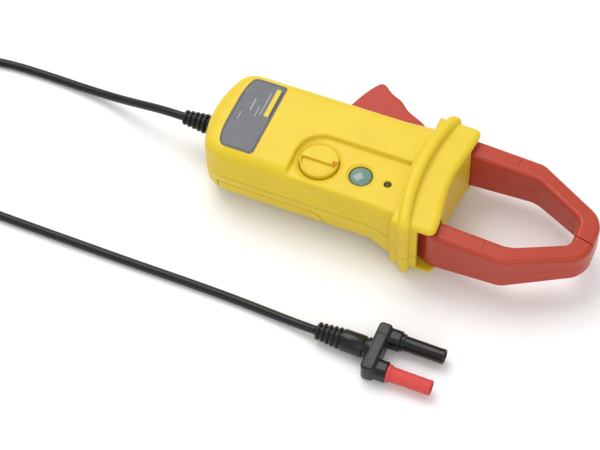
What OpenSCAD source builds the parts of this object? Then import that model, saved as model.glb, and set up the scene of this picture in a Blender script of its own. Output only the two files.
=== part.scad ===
// Current clamp adapter: housing with a barrier flange and hood, two geared jaws with a trigger,
// zero knob, power button, battery, circuit board and an output cord with a dual shrouded plug.
// X runs from the tail to the jaws, Y points to the trigger side, Z is up through the label.
// The origin is on the rest foot under the flange, on the centre plane.

/* [Housing] */
// Length from the tail to the middle of the flange
body_len = 114; // [100:1:140]
// Width of the body at its seam
body_w = 61; // [56:0.5:70]
// Height of the body's top face above the rest foot
body_top = 42.5; // [41:0.5:46]
// Height of the body's underside above the rest foot
body_bottom = 6; // [4:0.5:7]
// Wall thickness of both shells
wall = 2.5; // [2:0.1:3]
// Height of the seam between the shells
seam_z = 24; // [22:0.5:25]
// Radius of the bowed tail in plan
tail_r = 58; // [45:1:80]
// Radius of the body's corners in plan
corner_r = 9; // [6:0.5:12]
// Radius of the body's long edges
edge_r = 7; // [4:0.5:9]
// Inward lean of the side walls from the seam to the edges
side_lean = 1.8; // [0:0.1:2.5]

/* [Flange and hood] */
// Width of the barrier flange
flange_w = 78; // [74:1:86]
// Height of the barrier flange
flange_h = 48; // [47:0.5:54]
// Thickness of the flange bead along X
flange_t = 8; // [6:0.5:10]
// Radius of the flange's corners
flange_corner_r = 9; // [6:1:16]
// Radius to which the flange is bowed in plan
flange_bow_r = 125; // [90:5:300]
// Width of the hood behind the jaws
hood_w = 71; // [70:0.5:76]
// Distance from the flange to the hood's front corners
hood_len = 23; // [22:0.5:27]
// Radius of the hollow front wall between the jaws
hood_front_r = 72; // [60:1:90]
// Distance from the flange to the middle of the front wall
hood_mid = 18.5; // [18:0.5:20]

/* [Jaws] */
// Distance from the flange to the tip of the closed jaws
jaw_reach = 95; // [90:1:105]
// Width of the window between the jaws
window_w = 44; // [43:0.5:48]
// Width of each jaw arm
arm_w = 11; // [10:0.25:12]
// Distance from the flange to the bend of the arms
bend_x = 57; // [50:1:60]
// Height of the jaws where they leave the hood
root_h = 27; // [22:0.5:28]
// Height of the jaws at their tip
tip_h = 17; // [15:0.5:20]
// Height of the jaws' middle plane
jaw_z = 22.6; // [22:0.2:23]
// Gap left between the closed jaw tips
tip_gap = 0.4; // [0.3:0.05:0.6]
// Distance of each pivot pin from the centre plane
pivot_y = 20; // [19.5:0.25:20.5]
// Distance of the pivot pins from the flange
pivot_x = 2; // [1.5:0.25:2.5]
// Radius of the pivot pins
pin_r = 2; // [1.5:0.25:2.5]
// Number of teeth on a full circle of the jaw gears
gear_teeth = 32; // [28:4:36]

/* [Controls] */
// Depth of the sunk control panel
panel_depth = 2.8; // [2:0.2:3.2]
// Distance of the knob, button and lamp from the centre plane
control_y = -13.3; // [-14:0.1:-12]
// Distance of the knob from the flange
knob_x = -48.9; // [-52:0.1:-46]
// Radius of the zero knob
knob_r = 10.1; // [8:0.1:10.5]
// Distance of the power button from the flange
button_x = -26; // [-28:0.1:-24]
// Radius of the power button
button_r = 6; // [5:0.1:6.5]
// Distance of the lamp from the flange
lamp_x = -11.4; // [-13:0.1:-11]
// Radius of the lamp
lamp_r = 1.8; // [1.5:0.1:2]
// Travel of the power button
button_travel = 1.2; // [0.8:0.1:1.5]

/* [Fits] */
// Running clearance of a shaft in its bush, on the radius
run_fit = 0.05; // [0.02:0.01:0.1]
// Clearance between covers and what they cover
cover_fit = 0.15; // [0.1:0.05:0.3]
// Clearance between parts that move past each other
move_fit = 0.4; // [0.3:0.05:0.5]

/* [Cord and plug] */
// Diameter of the output cord
cord_d = 4.6; // [4:0.1:5]
// Spacing of the two plug sleeves
plug_pitch = 19; // [18:0.05:20]
// Length of the plug sleeves beyond the block
sleeve_len = 23; // [20:0.5:26]
// Outer radius of the plug sleeves
sleeve_r = 3.9; // [3.7:0.05:4.2]

/* [Hidden] */
$fn = 48;
far = 400;
inner_top = body_top - wall;
inner_bottom = body_bottom + wall;
panel_z = body_top - panel_depth;
panel_under = panel_z - wall;
panel_y = 1.8;
panel_x = knob_x - 12.3;
panel_corner = 13;
dish = 1.2;

// ---- housing outlines ----
module round_corners(r) {
    offset(r = r) offset(delta = -r) children();
}

module body_plan(inset) {
    offset(delta = -inset) round_corners(corner_r) intersection() {
        union() {
            translate([tail_r - body_len, 0]) circle(r = tail_r, $fn = 96);
            translate([tail_r - body_len, -tail_r]) square([body_len * 2, tail_r * 2]);
        }
        translate([-body_len, -body_w / 2]) square([body_len * 2, body_w]);
    }
}

module body_section(inset) {
    low = body_bottom + edge_r;
    high = body_top - edge_r;
    half = body_w / 2;
    offset(delta = -inset) hull() {
        for (s = [-1, 1]) {
            translate([s * (half - side_lean - edge_r), low]) circle(r = edge_r);
            translate([s * (half - side_lean - edge_r), high]) circle(r = edge_r);
            translate([s * (half - 1), seam_z]) circle(r = 1, $fn = 24);
        }
    }
}

module body_profile(inset) {
    offset(delta = -inset) round_corners(edge_r)
        translate([-body_len, body_bottom]) square([body_len * 2, body_top - body_bottom]);
}

// A prism along X whose outline lies in the YZ plane
module along_x(from, to) {
    translate([from, 0, 0]) rotate([90, 0, 90]) linear_extrude(to - from) children();
}

// A prism along Y whose outline lies in the XZ plane
module along_y(from, to) {
    translate([0, to, 0]) rotate([90, 0, 0]) linear_extrude(to - from) children();
}

module body_solid(inset, front) {
    intersection() {
        linear_extrude(body_top + 10) body_plan(inset);
        along_x(-body_len - 1, front) body_section(inset);
        along_y(-body_w, body_w) body_profile(inset);
    }
}

// The side walls spread out over the last stretch before the flange
flare = 2.6;
flare_len = 17;
module body_flare(inset) {
    w = body_w / 2 + flare;
    intersection() {
        linear_extrude(body_top + 10) offset(delta = -inset) polygon([
            [-flare_len - inset, -body_w / 2 + side_lean], [-flare_len * 0.4, -body_w / 2 - flare * 0.3],
            [6, -w], [6, w], [-flare_len * 0.4, body_w / 2 + flare * 0.3],
            [-flare_len - inset, body_w / 2 - side_lean]]);
        along_x(-flare_len, 3 - inset) offset(delta = -inset) round_corners(edge_r)
            translate([-w, body_bottom]) square([w * 2, body_top - body_bottom]);
    }
}

module flange_section(grow) {
    offset(delta = grow) round_corners(flange_corner_r)
        translate([-flange_w / 2, 0]) square([flange_w, flange_h]);
}

module flange_band(t) {
    difference() {
        translate([flange_bow_r, 0]) circle(r = flange_bow_r + t / 2, $fn = 180);
        translate([flange_bow_r, 0]) circle(r = flange_bow_r - t / 2, $fn = 180);
    }
}

module flange_solid() {
    intersection() {
        linear_extrude(flange_h) intersection() {
            flange_band(flange_t);
            translate([-20, -flange_w / 2]) square([40, flange_w]);
        }
        along_x(-20, 20) flange_section(0);
    }
}

module hood_solid(inset) {
    half = hood_w / 2;
    rear = 0;
    intersection() {
        linear_extrude(body_top + 10) offset(delta = -inset) difference() {
            polygon([[rear - inset, -half - 0.6], [hood_len - 3, -half], [hood_len, -half + 3],
                [hood_len, half - 3], [hood_len - 3, half], [rear - inset, half + 0.6]]);
            translate([hood_mid + hood_front_r, 0]) circle(r = hood_front_r, $fn = 120);
        }
        along_x(rear, hood_len + 1) offset(delta = -inset) round_corners(4)
            translate([-half - 1, body_bottom])
            square([hood_w + 2, body_top - body_bottom]);
    }
}

module panel_plan(grow) {
    offset(delta = grow) hull() {
        translate([panel_x + panel_corner, panel_y - panel_corner]) circle(r = panel_corner);
        translate([panel_x, -body_w]) square([1, 10]);
        translate([0, -body_w]) square([4, body_w + panel_y]);
    }
}

module housing_outer() {
    difference() {
        union() {
            body_solid(0, 4);
            body_flare(0);
        }
        translate([0, 0, panel_z]) linear_extrude(20) panel_plan(0);
    }
    flange_solid();
    hood_solid(0);
}

module housing_inner() {
    difference() {
        union() {
            body_solid(wall, 6);
            body_flare(wall);
        }
        translate([0, 0, panel_under]) linear_extrude(20) panel_plan(wall * 0.8);
    }
    hood_solid(wall);
}

// The jaws leave the hood through these openings, which reach round its sides
exit_x = 12.8;
exit_low = jaw_z - root_h / 2 - move_fit;
exit_high = body_top - 2.2;
module jaw_exits() {
    for (s = [0, 1]) mirror([0, s, 0])
        translate([exit_x, window_w / 2 - 0.7, exit_low]) cube([30, 30, exit_high - exit_low]);
}

// The trigger swings in through this opening in the far wall
slot_rear = -56;
slot_front = -5;
slot_low = jaw_z - 7.6;
slot_high = jaw_z + 7.6;
module trigger_slot() {
    translate([slot_rear, body_w / 2 - wall - 4, slot_low])
        cube([slot_front - slot_rear, 30, slot_high - slot_low]);
}

// ---- screws, bosses and pins ----
screw_r = 1.5;
boss_r = 3.4;
tail = -body_len;
casing_places = [[tail + 9, 15], [tail + 9, -15], [-17.5, -22], [-20, 4]];
pivots = [[pivot_x, pivot_y], [pivot_x, -pivot_y]];
pin_boss_r = 5;
hub_gap = 10.6;
pin_boss = jaw_z - hub_gap - move_fit - inner_bottom;
cord_z = 21.5;
collar_r = 5.2;

module at_places(places) {
    for (p = places) translate([p[0], p[1], 0]) children();
}

// ---- battery door ----
door_rear = tail + 13.4;
door_front = -44.5;
door_slant = 3.5;
door_z = 17.5;
module door_block(gap) {
    along_y(-body_w, body_w) offset(delta = -gap) polygon([[door_rear, -5],
        [door_rear, door_z], [door_front, door_z], [door_front + door_slant, door_z - 6],
        [door_front + door_slant, -5]]);
}

// Everything above or below the seam
module above(z) {
    translate([-far, -far, z]) cube([2 * far, 2 * far, far]);
}

module below(z) {
    translate([-far, -far, z - far]) cube([2 * far, 2 * far, far]);
}

module housing_shell() {
    difference() {
        housing_outer();
        housing_inner();
        jaw_exits();
        trigger_slot();
        translate([-body_len - 5, 0, cord_z]) rotate([0, 90, 0]) cylinder(r = collar_r, h = 15);
    }
}

// ---- controls ----
board_z = 31;
board_t = 1.6;
board_top = board_z + board_t;
knob_hole_r = knob_r + move_fit;
knob_top = panel_z + 1.4;
knob_low = panel_under + 0.4;
knob_hub_r = 3.5;
shaft_r = 1.5;
button_hole_r = button_r + 0.3;
button_lip_r = button_r + 1.2;
button_lip_z = panel_under - 1.2;
lamp_hole_r = lamp_r + 0.3;
board_places = [[-30, 10], [-60, -21]];
board_post_r = 2.6;
board_screw_r = 1.1;

module label_plan(grow) {
    edge = 8.5;
    offset(delta = grow) round_corners(2) intersection() {
        translate([tail_r - body_len, 0]) circle(r = tail_r - edge, $fn = 96);
        translate([tail + 11, -23.4]) square([21.3, 46.8]);
    }
}
label_t = 0.6;

module top_shell() {
    color("gold") difference() {
        union() {
            intersection() {
                housing_shell();
                above(seam_z);
            }
            at_places([casing_places[0], casing_places[1]])
                translate([0, 0, seam_z]) cylinder(r = boss_r, h = inner_top - seam_z + 0.5);
            at_places([casing_places[2], casing_places[3]])
                translate([0, 0, seam_z]) cylinder(r = boss_r, h = panel_under - seam_z + 0.5);
            at_places(board_places)
                translate([0, 0, board_top]) cylinder(r = board_post_r, h = panel_under - board_top + 0.5);
            at_places([board_places[0]])
                translate([0, 0, board_top]) cylinder(r = board_post_r, h = inner_top - board_top + 0.5);
            at_places(pivots)
                translate([0, 0, inner_top - 2.4]) cylinder(r = pin_boss_r, h = 2.9);
        }
        at_places(casing_places) translate([0, 0, seam_z - 1]) cylinder(r = screw_r, h = 9);
        at_places(board_places) translate([0, 0, board_top - 1]) cylinder(r = board_screw_r, h = 5.5);
        at_places(pivots) translate([0, 0, inner_top - 3]) cylinder(r = pin_r, h = 3.2);
        translate([knob_x, control_y, panel_under - 1]) cylinder(r = knob_hole_r, h = 9);
        translate([knob_x, control_y, panel_z - dish])
            cylinder(r1 = knob_hole_r, r2 = knob_hole_r + 3, h = dish + 0.01);
        translate([button_x, control_y, panel_under - 1]) cylinder(r = button_hole_r, h = 9);
        translate([button_x, control_y, panel_z - dish / 2])
            cylinder(r1 = button_hole_r, r2 = button_hole_r + 1, h = dish / 2 + 0.01);
        translate([lamp_x, control_y, panel_under - 1]) cylinder(r = lamp_hole_r, h = 9);
        translate([0, 0, body_top - label_t]) linear_extrude(5) label_plan(cover_fit);
    }
}

// A bracket on the tail end of the lower shell takes the door screw
door_screw_at = [tail + 17.7, -10.2];
module door_bracket() {
    translate([tail + 1.8, -13.6, door_z + 0.3]) cube([17.8, 6.8, seam_z - door_z - 0.3]);
}

module bottom_shell() {
    color("goldenrod") difference() {
        union() {
            difference() {
                intersection() {
                    housing_shell();
                    below(seam_z);
                }
                door_block(0);
            }
            door_bracket();
            at_places([casing_places[0], casing_places[1]])
                translate([0, 0, inner_bottom - 0.5]) cylinder(r = boss_r, h = seam_z - inner_bottom + 0.5);
            at_places([casing_places[2], casing_places[3]])
                translate([0, 0, inner_bottom - 0.5]) cylinder(r = boss_r, h = seam_z - inner_bottom + 0.5);
            at_places(pivots)
                translate([0, 0, inner_bottom - 0.5]) cylinder(r = pin_boss_r, h = pin_boss + 0.5);
        }
        at_places(casing_places) {
            translate([0, 0, -1]) cylinder(r = screw_r + 0.2, h = far);
            translate([0, 0, -1]) cylinder(r = boss_r - 0.6, h = inner_bottom + 1);
        }
        at_places(pivots) translate([0, 0, inner_bottom - 0.2]) cylinder(r = pin_r, h = pin_boss + 1);
        at_places([door_screw_at]) translate([0, 0, door_z - 1]) cylinder(r = screw_r + move_fit, h = 5);
    }
}

door_head_r = 3.6;
door_head_t = 1.6;
module battery_door() {
    color("goldenrod") difference() {
        intersection() {
            housing_shell();
            below(seam_z);
            door_block(cover_fit);
        }
        at_places([door_screw_at]) {
            translate([0, 0, -1]) cylinder(r = screw_r + run_fit, h = far);
            translate([0, 0, body_bottom - 1]) cylinder(r = door_head_r + run_fit, h = door_head_t + 1);
        }
    }
}

module door_screw() {
    color("silver") at_places([door_screw_at]) difference() {
        union() {
            translate([0, 0, body_bottom + 0.2]) cylinder(r = door_head_r, h = door_head_t - 0.2);
            translate([0, 0, body_bottom + 1]) cylinder(r = screw_r, h = door_z + 3 - body_bottom);
        }
        translate([-door_head_r, -0.5, body_bottom]) cube([door_head_r * 2, 1, 1]);
    }
}

module label_plate() {
    color("slategray") translate([0, 0, body_top - label_t]) linear_extrude(label_t - 0.1) label_plan(0);
}

module casing_screws() {
    head = boss_r - 0.9;
    color("silver") at_places(casing_places) {
        translate([0, 0, body_bottom + 0.5]) cylinder(r = head, h = wall - 0.5);
        translate([0, 0, inner_bottom - 0.1]) cylinder(r = screw_r, h = seam_z + 7 - inner_bottom);
    }
}

module circuit_board() {
    color("darkgreen") difference() {
        translate([-63, -24, board_z]) cube([55, 46, board_t]);
        at_places([casing_places[2], casing_places[3]])
            translate([0, 0, board_z - 1]) cylinder(r = boss_r + move_fit, h = 4);
        at_places(board_places) translate([0, 0, board_z - 1]) cylinder(r = board_screw_r + 0.1, h = 4);
    }
}

module board_chips() {
    color("dimgray") {
        translate([-40, 2, board_top]) cube([6, 5, 1.6]);
        translate([-46, 8, board_top]) cube([8, 6, 1.8]);
        translate([-17, 12, board_top]) cube([7, 5, 1.6]);
        for (i = [0:4]) translate([-58 + i * 3.2, 14, board_top]) cube([1.8, 3.4, 1.2]);
        for (i = [0:3]) translate([-13 + i * 1.2, -22 + i * 2.6, board_top]) cube([1, 1.6, 0.8]);
        translate([-26, 14, board_top]) cylinder(r = 2.5, h = 5);
    }
}

module board_screws() {
    color("silver") at_places(board_places) {
        translate([0, 0, board_z - 1]) cylinder(r = 2, h = 1);
        translate([0, 0, board_z - 0.1]) cylinder(r = board_screw_r, h = 5);
    }
}

module zero_trimmer() {
    color("royalblue") translate([knob_x, control_y, board_top]) difference() {
        translate([-5, -5, 0]) cube([10, 10, 3]);
        translate([0, 0, 1]) cylinder(r = shaft_r + run_fit, h = 5);
    }
}

module trimmer_shaft() {
    color("silver") translate([knob_x, control_y, board_top + 1.1]) cylinder(r = shaft_r, h = 5.2);
}

module zero_knob() {
    color("gold") translate([knob_x, control_y, 0]) difference() {
        union() {
            translate([0, 0, knob_low]) cylinder(r = knob_r, h = knob_top - knob_low);
            translate([0, 0, board_top + 3.4]) cylinder(r = knob_hub_r, h = knob_low - board_top - 3);
        }
        translate([0, 0, board_top]) cylinder(r = shaft_r, h = 6.3);
        translate([0, 0, knob_top - 1.6]) intersection() {
            cylinder(r = knob_r - 0.8, h = 3);
            translate([-knob_r, -knob_r, 0]) cube([knob_r * 2, knob_r - 1, 3]);
        }
        translate([knob_r - 3, -0.9, knob_top - 0.4]) cube([2.6, 1.8, 1]);
    }
}

module knob_pointer() {
    color("darkorange") translate([knob_x + knob_r - 3, control_y - 0.9, knob_top - 0.4])
        cube([2.6, 1.8, 0.35]);
}

button_top = panel_z + 0.8;
module power_button() {
    dome_r = 16;
    color("darkseagreen") translate([button_x, control_y, 0]) difference() {
        union() {
            intersection() {
                translate([0, 0, button_lip_z]) cylinder(r = button_r, h = 9);
                translate([0, 0, button_top - dome_r]) sphere(r = dome_r, $fn = 96);
            }
            translate([0, 0, button_lip_z]) cylinder(r = button_lip_r, h = 0.9);
        }
        difference() {
            translate([0, 0, button_lip_z - 1]) cylinder(r = 5, h = 3);
            translate([0, 0, button_lip_z]) cylinder(r = shaft_r, h = 4);
        }
    }
}

module button_switch() {
    color("black") translate([button_x, control_y, board_top]) {
        translate([-3, -3, 0]) cube([6, 6, 1.2]);
        cylinder(r = 1.4, h = button_lip_z - board_top - button_travel - 0.5);
    }
}

module button_spring() {
    wire = 0.3;
    low = board_top + wire + 0.1;
    high = button_lip_z + 1.6;
    color("silver") translate([button_x, control_y, 0])
        tube([for (i = [0:60]) [4.5 * cos(i * 18), 4.5 * sin(i * 18), low + (high - low) * i / 60]],
            wire, 6);
}

module lamp() {
    color("palegreen") translate([lamp_x, control_y, board_top]) {
        cylinder(r = lamp_r, h = panel_z - board_top - 2.2);
        translate([0, 0, panel_z - board_top - 2.2]) sphere(r = lamp_r);
    }
}

// ---- battery ----
battery_size = [48.5, 26.5, 17.5];
battery_at = [tail + 20, -13.25, inner_bottom + 1.2];
module battery() {
    color("darkslategray") {
        translate(battery_at) cube([46, battery_size[1], battery_size[2]]);
        for (s = [-1, 1]) translate([battery_at[0] + 46, s * 6.35, battery_at[2] + 8.75])
            rotate([0, 90, 0]) cylinder(r = s < 0 ? 2.8 : 3.6, h = 2.5);
    }
}

module battery_snap() {
    rise = board_z - battery_at[2] - 12;
    color("black") translate([battery_at[0] + 48.6, -12, battery_at[2] + 1]) cube([1.5, 24, 15]);
    color("red") for (s = [-1, 1]) translate([battery_at[0] + 50, s * 4, battery_at[2] + 12])
        tube([[0, 0, 0], [0.8, 0, 0], [2, 0, 0.5], [3, 0, 2], [3.2, 0, 4], [3.2, 0.01, rise]], 0.6, 6);
}

module foam_pad() {
    color("gray") translate([battery_at[0] + 2, -11, battery_at[2] + battery_size[2] + 0.1]) cube([28, 22, 3]);
}

// ---- jaws ----
half_in = window_w / 2;
half_out = half_in + arm_w;
bend = 27.7;
drop = (jaw_reach - bend_x) * tan(bend);
inner_reach = jaw_reach - arm_w;
inner_drop = (inner_reach - bend_x) * tan(bend);
bush_r = 3.2;
hub_r = 8;
lever_half = 3.4;
root_x = 11;
gap_angle = -12;
gap_at = [inner_reach - 2, -1.4];
jaw_wall = 2.2;
core_half = tip_h / 2 - 2.2;

module jaw_ring_plan(inset) {
    difference() {
        offset(delta = -inset) round_corners(12) polygon([[-60, half_out], [bend_x, half_out],
            [jaw_reach, half_out - drop], [jaw_reach, drop - half_out],
            [bend_x, -half_out], [-60, -half_out]]);
        offset(delta = inset) round_corners(4) polygon([[-60, half_in], [bend_x, half_in],
            [inner_reach, half_in - inner_drop], [inner_reach, inner_drop - half_in],
            [bend_x, -half_in], [-60, -half_in]]);
    }
}

// The far side of the slanted line where the jaw tips meet, moved back by a distance
module past_gap(back) {
    translate(gap_at) rotate(gap_angle) translate([-far, back]) square([2 * far, far]);
}

module before_gap(back) {
    translate(gap_at) rotate(gap_angle) translate([-far, -far - back]) square([2 * far, far]);
}

// The root is narrowed so that the arm clears the hood's side wall as it swings out
module root_trim() {
    for (s = [-1, 1]) scale([1, s]) polygon([[-70, half_out - 4], [root_x + 1, half_out - 3.4],
        [14, half_out - 2.6], [17, half_out - 0.8], [20, half_out + 0.1], [20, far], [-70, far]]);
}

module arm_plan(from, inset) {
    difference() {
        jaw_ring_plan(inset);
        root_trim();
        translate([-far, -far]) square([far + from, 2 * far]);
    }
}

module jaw_taper() {
    along_y(-far, far) polygon([[0, jaw_z - root_h / 2], [22, jaw_z - root_h / 2],
        [jaw_reach + 1, jaw_z - tip_h / 2], [jaw_reach + 1, jaw_z + tip_h / 2],
        [22, jaw_z + root_h / 2], [0, jaw_z + root_h / 2]]);
}

jaw_screw_places = [[15, 26], [19.5, 28.5]];
module jaw_hub(low, high) {
    translate([0, 0, low]) linear_extrude(high - low) {
        translate(pivots[0]) circle(r = hub_r);
        polygon([[pivot_x - 2, pivot_y - 7.6], [root_x + 0.1, half_in + 0.4],
            [root_x + 0.1, half_out - 3.6], [pivot_x - 2, pivot_y + 7.6]]);
    }
}

// One half of a jaw on the far side, cut by the child plan at its tip
module jaw_half(upper, side) {
    difference() {
        union() {
            intersection() {
                linear_extrude(far) intersection() {
                    arm_plan(root_x, 0);
                    jaw_side(side, tip_gap / 2);
                }
                jaw_taper();
                if (upper) above(jaw_z); else below(jaw_z);
            }
            if (upper) side_mirror(side) jaw_hub(jaw_z + lever_half, jaw_z + hub_gap);
            else side_mirror(side) jaw_hub(jaw_z - hub_gap, jaw_z - lever_half);
        }
        translate([0, 0, jaw_z - core_half]) linear_extrude(core_half * 2) intersection() {
            arm_plan(24, jaw_wall);
            jaw_side(side, 1.4);
        }
        side_mirror(side) at_places([pivots[0]]) cylinder(r = bush_r, h = far);
        side_mirror(side) at_places(jaw_screw_places) {
            translate([0, 0, jaw_z - 9]) cylinder(r = 1, h = 16);
            translate([0, 0, 0]) cylinder(r = 2, h = jaw_z - 9);
        }
    }
}

module jaw_side(side, back) {
    if (side > 0) past_gap(back);
    else before_gap(back);
}

module side_mirror(side) {
    if (side > 0) children();
    else mirror([0, 1, 0]) children();
}

module jaw_core(side) {
    color("gray") translate([0, 0, jaw_z - core_half + cover_fit])
        linear_extrude((core_half - cover_fit) * 2) intersection() {
            arm_plan(24 + cover_fit, jaw_wall + cover_fit);
            jaw_side(side, 3.6);
        }
}

module jaw_sensor(side) {
    color("darkgreen") translate([gap_at[0], gap_at[1], jaw_z - 3]) rotate([0, 0, gap_angle])
        translate([5.4, side * 2.8 - 0.3, 0]) cube([4.6, 0.6, 6]);
}

module jaw_bush(side) {
    color("darkgoldenrod") side_mirror(side) at_places([pivots[0]]) difference() {
        translate([0, 0, jaw_z - hub_gap]) cylinder(r = bush_r, h = hub_gap * 2);
        cylinder(r = pin_r + run_fit, h = far);
    }
}

module jaw_screws(side) {
    color("silver") side_mirror(side) at_places(jaw_screw_places) {
        translate([0, 0, jaw_z - 9]) cylinder(r = 1, h = 15.5);
        translate([0, 0, jaw_z - 10.5]) cylinder(r = 1.8, h = 1.5);
    }
}

module far_jaw_upper() {
    color("firebrick") jaw_half(true, 1);
}

module far_jaw_lower() {
    color("firebrick") jaw_half(false, 1);
}

module near_jaw_upper() {
    color("firebrick") jaw_half(true, -1);
}

module near_jaw_lower() {
    color("firebrick") jaw_half(false, -1);
}

module far_core() {
    jaw_core(1);
}

module near_core() {
    jaw_core(-1);
}

module far_sensor() {
    jaw_sensor(1);
}

module near_sensor() {
    jaw_sensor(-1);
}

module far_bush() {
    jaw_bush(1);
}

module near_bush() {
    jaw_bush(-1);
}

module far_jaw_screws() {
    jaw_screws(1);
}

module near_jaw_screws() {
    jaw_screws(-1);
}

module pivot_pins() {
    color("silver") at_places(pivots)
        translate([0, 0, inner_bottom]) cylinder(r = pin_r, h = inner_top - inner_bottom);
}

// ---- jaw gears: involute teeth whose pitch circles meet on the centre plane ----
pressure = 20;
pitch_r = pivot_y;
base_r = pitch_r * cos(pressure);
module_size = 2 * pitch_r / gear_teeth;
tip_r = pitch_r + module_size * 0.85;
root_r = pitch_r - module_size * 1.2;
backlash = 0.16;
function involute(a) = tan(a) * 180 / PI - a;
function roll(r) = r <= base_r ? 0 : involute(acos(base_r / r));
function half_tooth(r) = 90 / gear_teeth - backlash / 2 / pitch_r * 180 / PI + involute(pressure) - roll(r);
function tooth_point(r, side) = [r * cos(side * half_tooth(r)), r * sin(side * half_tooth(r))];
tooth_steps = [for (i = [0:5]) base_r + (tip_r - base_r) * i / 5];

module tooth() {
    polygon(concat([[root_r - 1, -root_r * sin(half_tooth(base_r))]],
        [for (r = tooth_steps) tooth_point(r, -1)],
        [for (i = [5:-1:0]) tooth_point(tooth_steps[i], 1)],
        [[root_r - 1, root_r * sin(half_tooth(base_r))]]));
}

// A toothed sector round the far pivot; first is the angle of its first tooth from the mesh line
module toothed_sector(first, count) {
    step = 360 / gear_teeth;
    from = first - step * 0.6;
    to = first + step * (count - 0.4);
    translate(pivots[0]) rotate(-90) {
        for (i = [0:count - 1]) rotate(first + i * step) tooth();
        intersection() {
            circle(r = root_r);
            polygon([[0, 0], [40 * cos(from), 40 * sin(from)],
                [40 * cos((from + to) / 2), 40 * sin((from + to) / 2)],
                [40 * cos(to), 40 * sin(to)]]);
        }
    }
}

module lever_slab(low, high) {
    translate([0, 0, low]) linear_extrude(high - low) children();
}

fin_half = 7;
module trigger() {
    color("crimson") lever_slab(jaw_z - fin_half, jaw_z + fin_half) round_corners(0.8) fin_plan();
}

// The lever of the far jaw: its hub, its gear teeth and the arm that the trigger is pressed onto
module far_sector() {
    color("dimgray") difference() {
        lever_slab(jaw_z - lever_half, jaw_z + lever_half) {
            translate(pivots[0]) circle(r = hub_r);
            toothed_sector(-2 * 360 / gear_teeth, 4);
            polygon([[-32, 24.6], [-32, 31], [-10, 30.5], [-1, 26.6], [4, 13], [-5, 14.5]]);
        }
        at_places([pivots[0]]) cylinder(r = bush_r, h = far);
    }
}

module fin_plan() {
    polygon([[-53, 29], [-50.4, 37.9], [-46.9, 46.6], [-43.6, 52.4], [-41.4, 54.8], [-38.8, 54.6],
        [-36, 52.2], [-32.8, 49.9], [-28.2, 48.1], [-25.2, 46], [-22.4, 43], [-18.6, 41.1],
        [-12.5, 38.4], [-9, 36.2], [-9, 27], [-30, 24.6], [-50.5, 26]]);
}

module near_sector() {
    color("dimgray") mirror([0, 1, 0]) difference() {
        lever_slab(jaw_z - lever_half, jaw_z + lever_half) {
            translate(pivots[0]) circle(r = hub_r);
            toothed_sector(-1.5 * 360 / gear_teeth, 3);
        }
        at_places([pivots[0]]) cylinder(r = bush_r, h = far);
    }
}

module closing_spring() {
    wire = 0.5;
    low = jaw_z + hub_gap + wire + 0.4;
    rise = inner_top - 2.4 - wire - 0.4 - low;
    coil = 4.2;
    turns = 2.25;
    color("silver") translate([pivot_x, pivot_y, 0]) tube(concat([[-9, -coil, low]],
        [for (i = [0:45]) [coil * sin(i * turns * 8), -coil * cos(i * turns * 8), low + rise * i / 45]],
        [[coil - 0.2, 9, low + rise]]), wire, 6);
}

// ---- swept tubes ----
function unit(v) = v / norm(v);
function heading(p, i) = unit(p[min(i + 1, len(p) - 1)] - p[max(i - 1, 0)]);
function ring(p, i, r, n) = let(d = heading(p, i), s = unit(cross(d, [0, 0, 1])), u = cross(s, d))
    [for (k = [0:n - 1]) p[i] + r * cos(k * 360 / n) * s + r * sin(k * 360 / n) * u];

module tube(p, r, n) {
    m = len(p);
    polyhedron(points = [for (i = [0:m - 1]) each ring(p, i, r, n)],
        faces = concat([[for (k = [n - 1:-1:0]) k]], [[for (k = [0:n - 1]) (m - 1) * n + k]],
            [for (i = [0:m - 2]) for (k = [0:n - 1])
                [i * n + k, i * n + (k + 1) % n, (i + 1) * n + k]],
            [for (i = [0:m - 2]) for (k = [0:n - 1])
                [i * n + (k + 1) % n, (i + 1) * n + (k + 1) % n, (i + 1) * n + k]]));
}

// ---- cord ----
relief_end = tail - 19;
longer = body_len - 114;
coil_centre = [-268 - longer, -50];
coil_mid_r = 25;
coil_z = 0.7;
coil_half = cord_d * 1.5;
out_route = [[-133, 0, 21.5], [-145, 0.9, 20.2], [-158, 3.2, 15.6], [-172, 6.2, 9.8], [-187, 8.8, 5.2],
    [-205, 10.4, 2.8], [-226, 11, 2.4], [-246, 10.6, 2.4], [-262, 8.4, 2.4], [-277, 1.6, 2.4],
    [-289, -11, 2.4], [-296, -28, 2.6], [-297.6, -44, 3]];
back_route = [[-262, -79.6, 4.6], [-248, -80.6, 3.4], [-232, -82, 2.5], [-214, -83, 2.4],
    [-195, -83.4, 2.4], [-175, -83.6, 2.4], [-150, -83.8, 2.4], [-124, -84, 2.4], [-98, -83.9, 2.4],
    [-74, -84, 2.4], [-52, -84.8, 2.5], [-35, -86, 3.3], [-20, -87.4, 5.6]];
function moved(p) = [for (q = p) [q[0] - longer, q[1], q[2]]];
function stretched(p) = [for (q = p) [q[0] + longer * (q[0] + 20) / 242, q[1], q[2]]];
function smooth(p, i, t) = let(a = p[max(i - 1, 0)], b = p[i], c = p[i + 1],
    d = p[min(i + 2, len(p) - 1)])
    0.5 * (2 * b + (c - a) * t + (2 * a - 5 * b + 4 * c - d) * t * t + (3 * b - a - 3 * c + d) * t * t * t);
function smoothed(p) = concat([for (i = [0:len(p) - 2]) each [smooth(p, i, 0), smooth(p, i, 0.5)]],
    [p[len(p) - 1]]);

module cord_out() {
    color("black") tube(smoothed(moved(out_route)), cord_d / 2, 10);
}

module cord_back() {
    color("black") tube(smoothed(stretched(back_route)), cord_d / 2, 10);
}

module cord_coil() {
    color("black") translate([coil_centre[0], coil_centre[1], coil_z]) rotate_extrude($fn = 96)
        translate([coil_mid_r - coil_half, 0]) square([coil_half * 2, coil_half * 2]);
}

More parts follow.
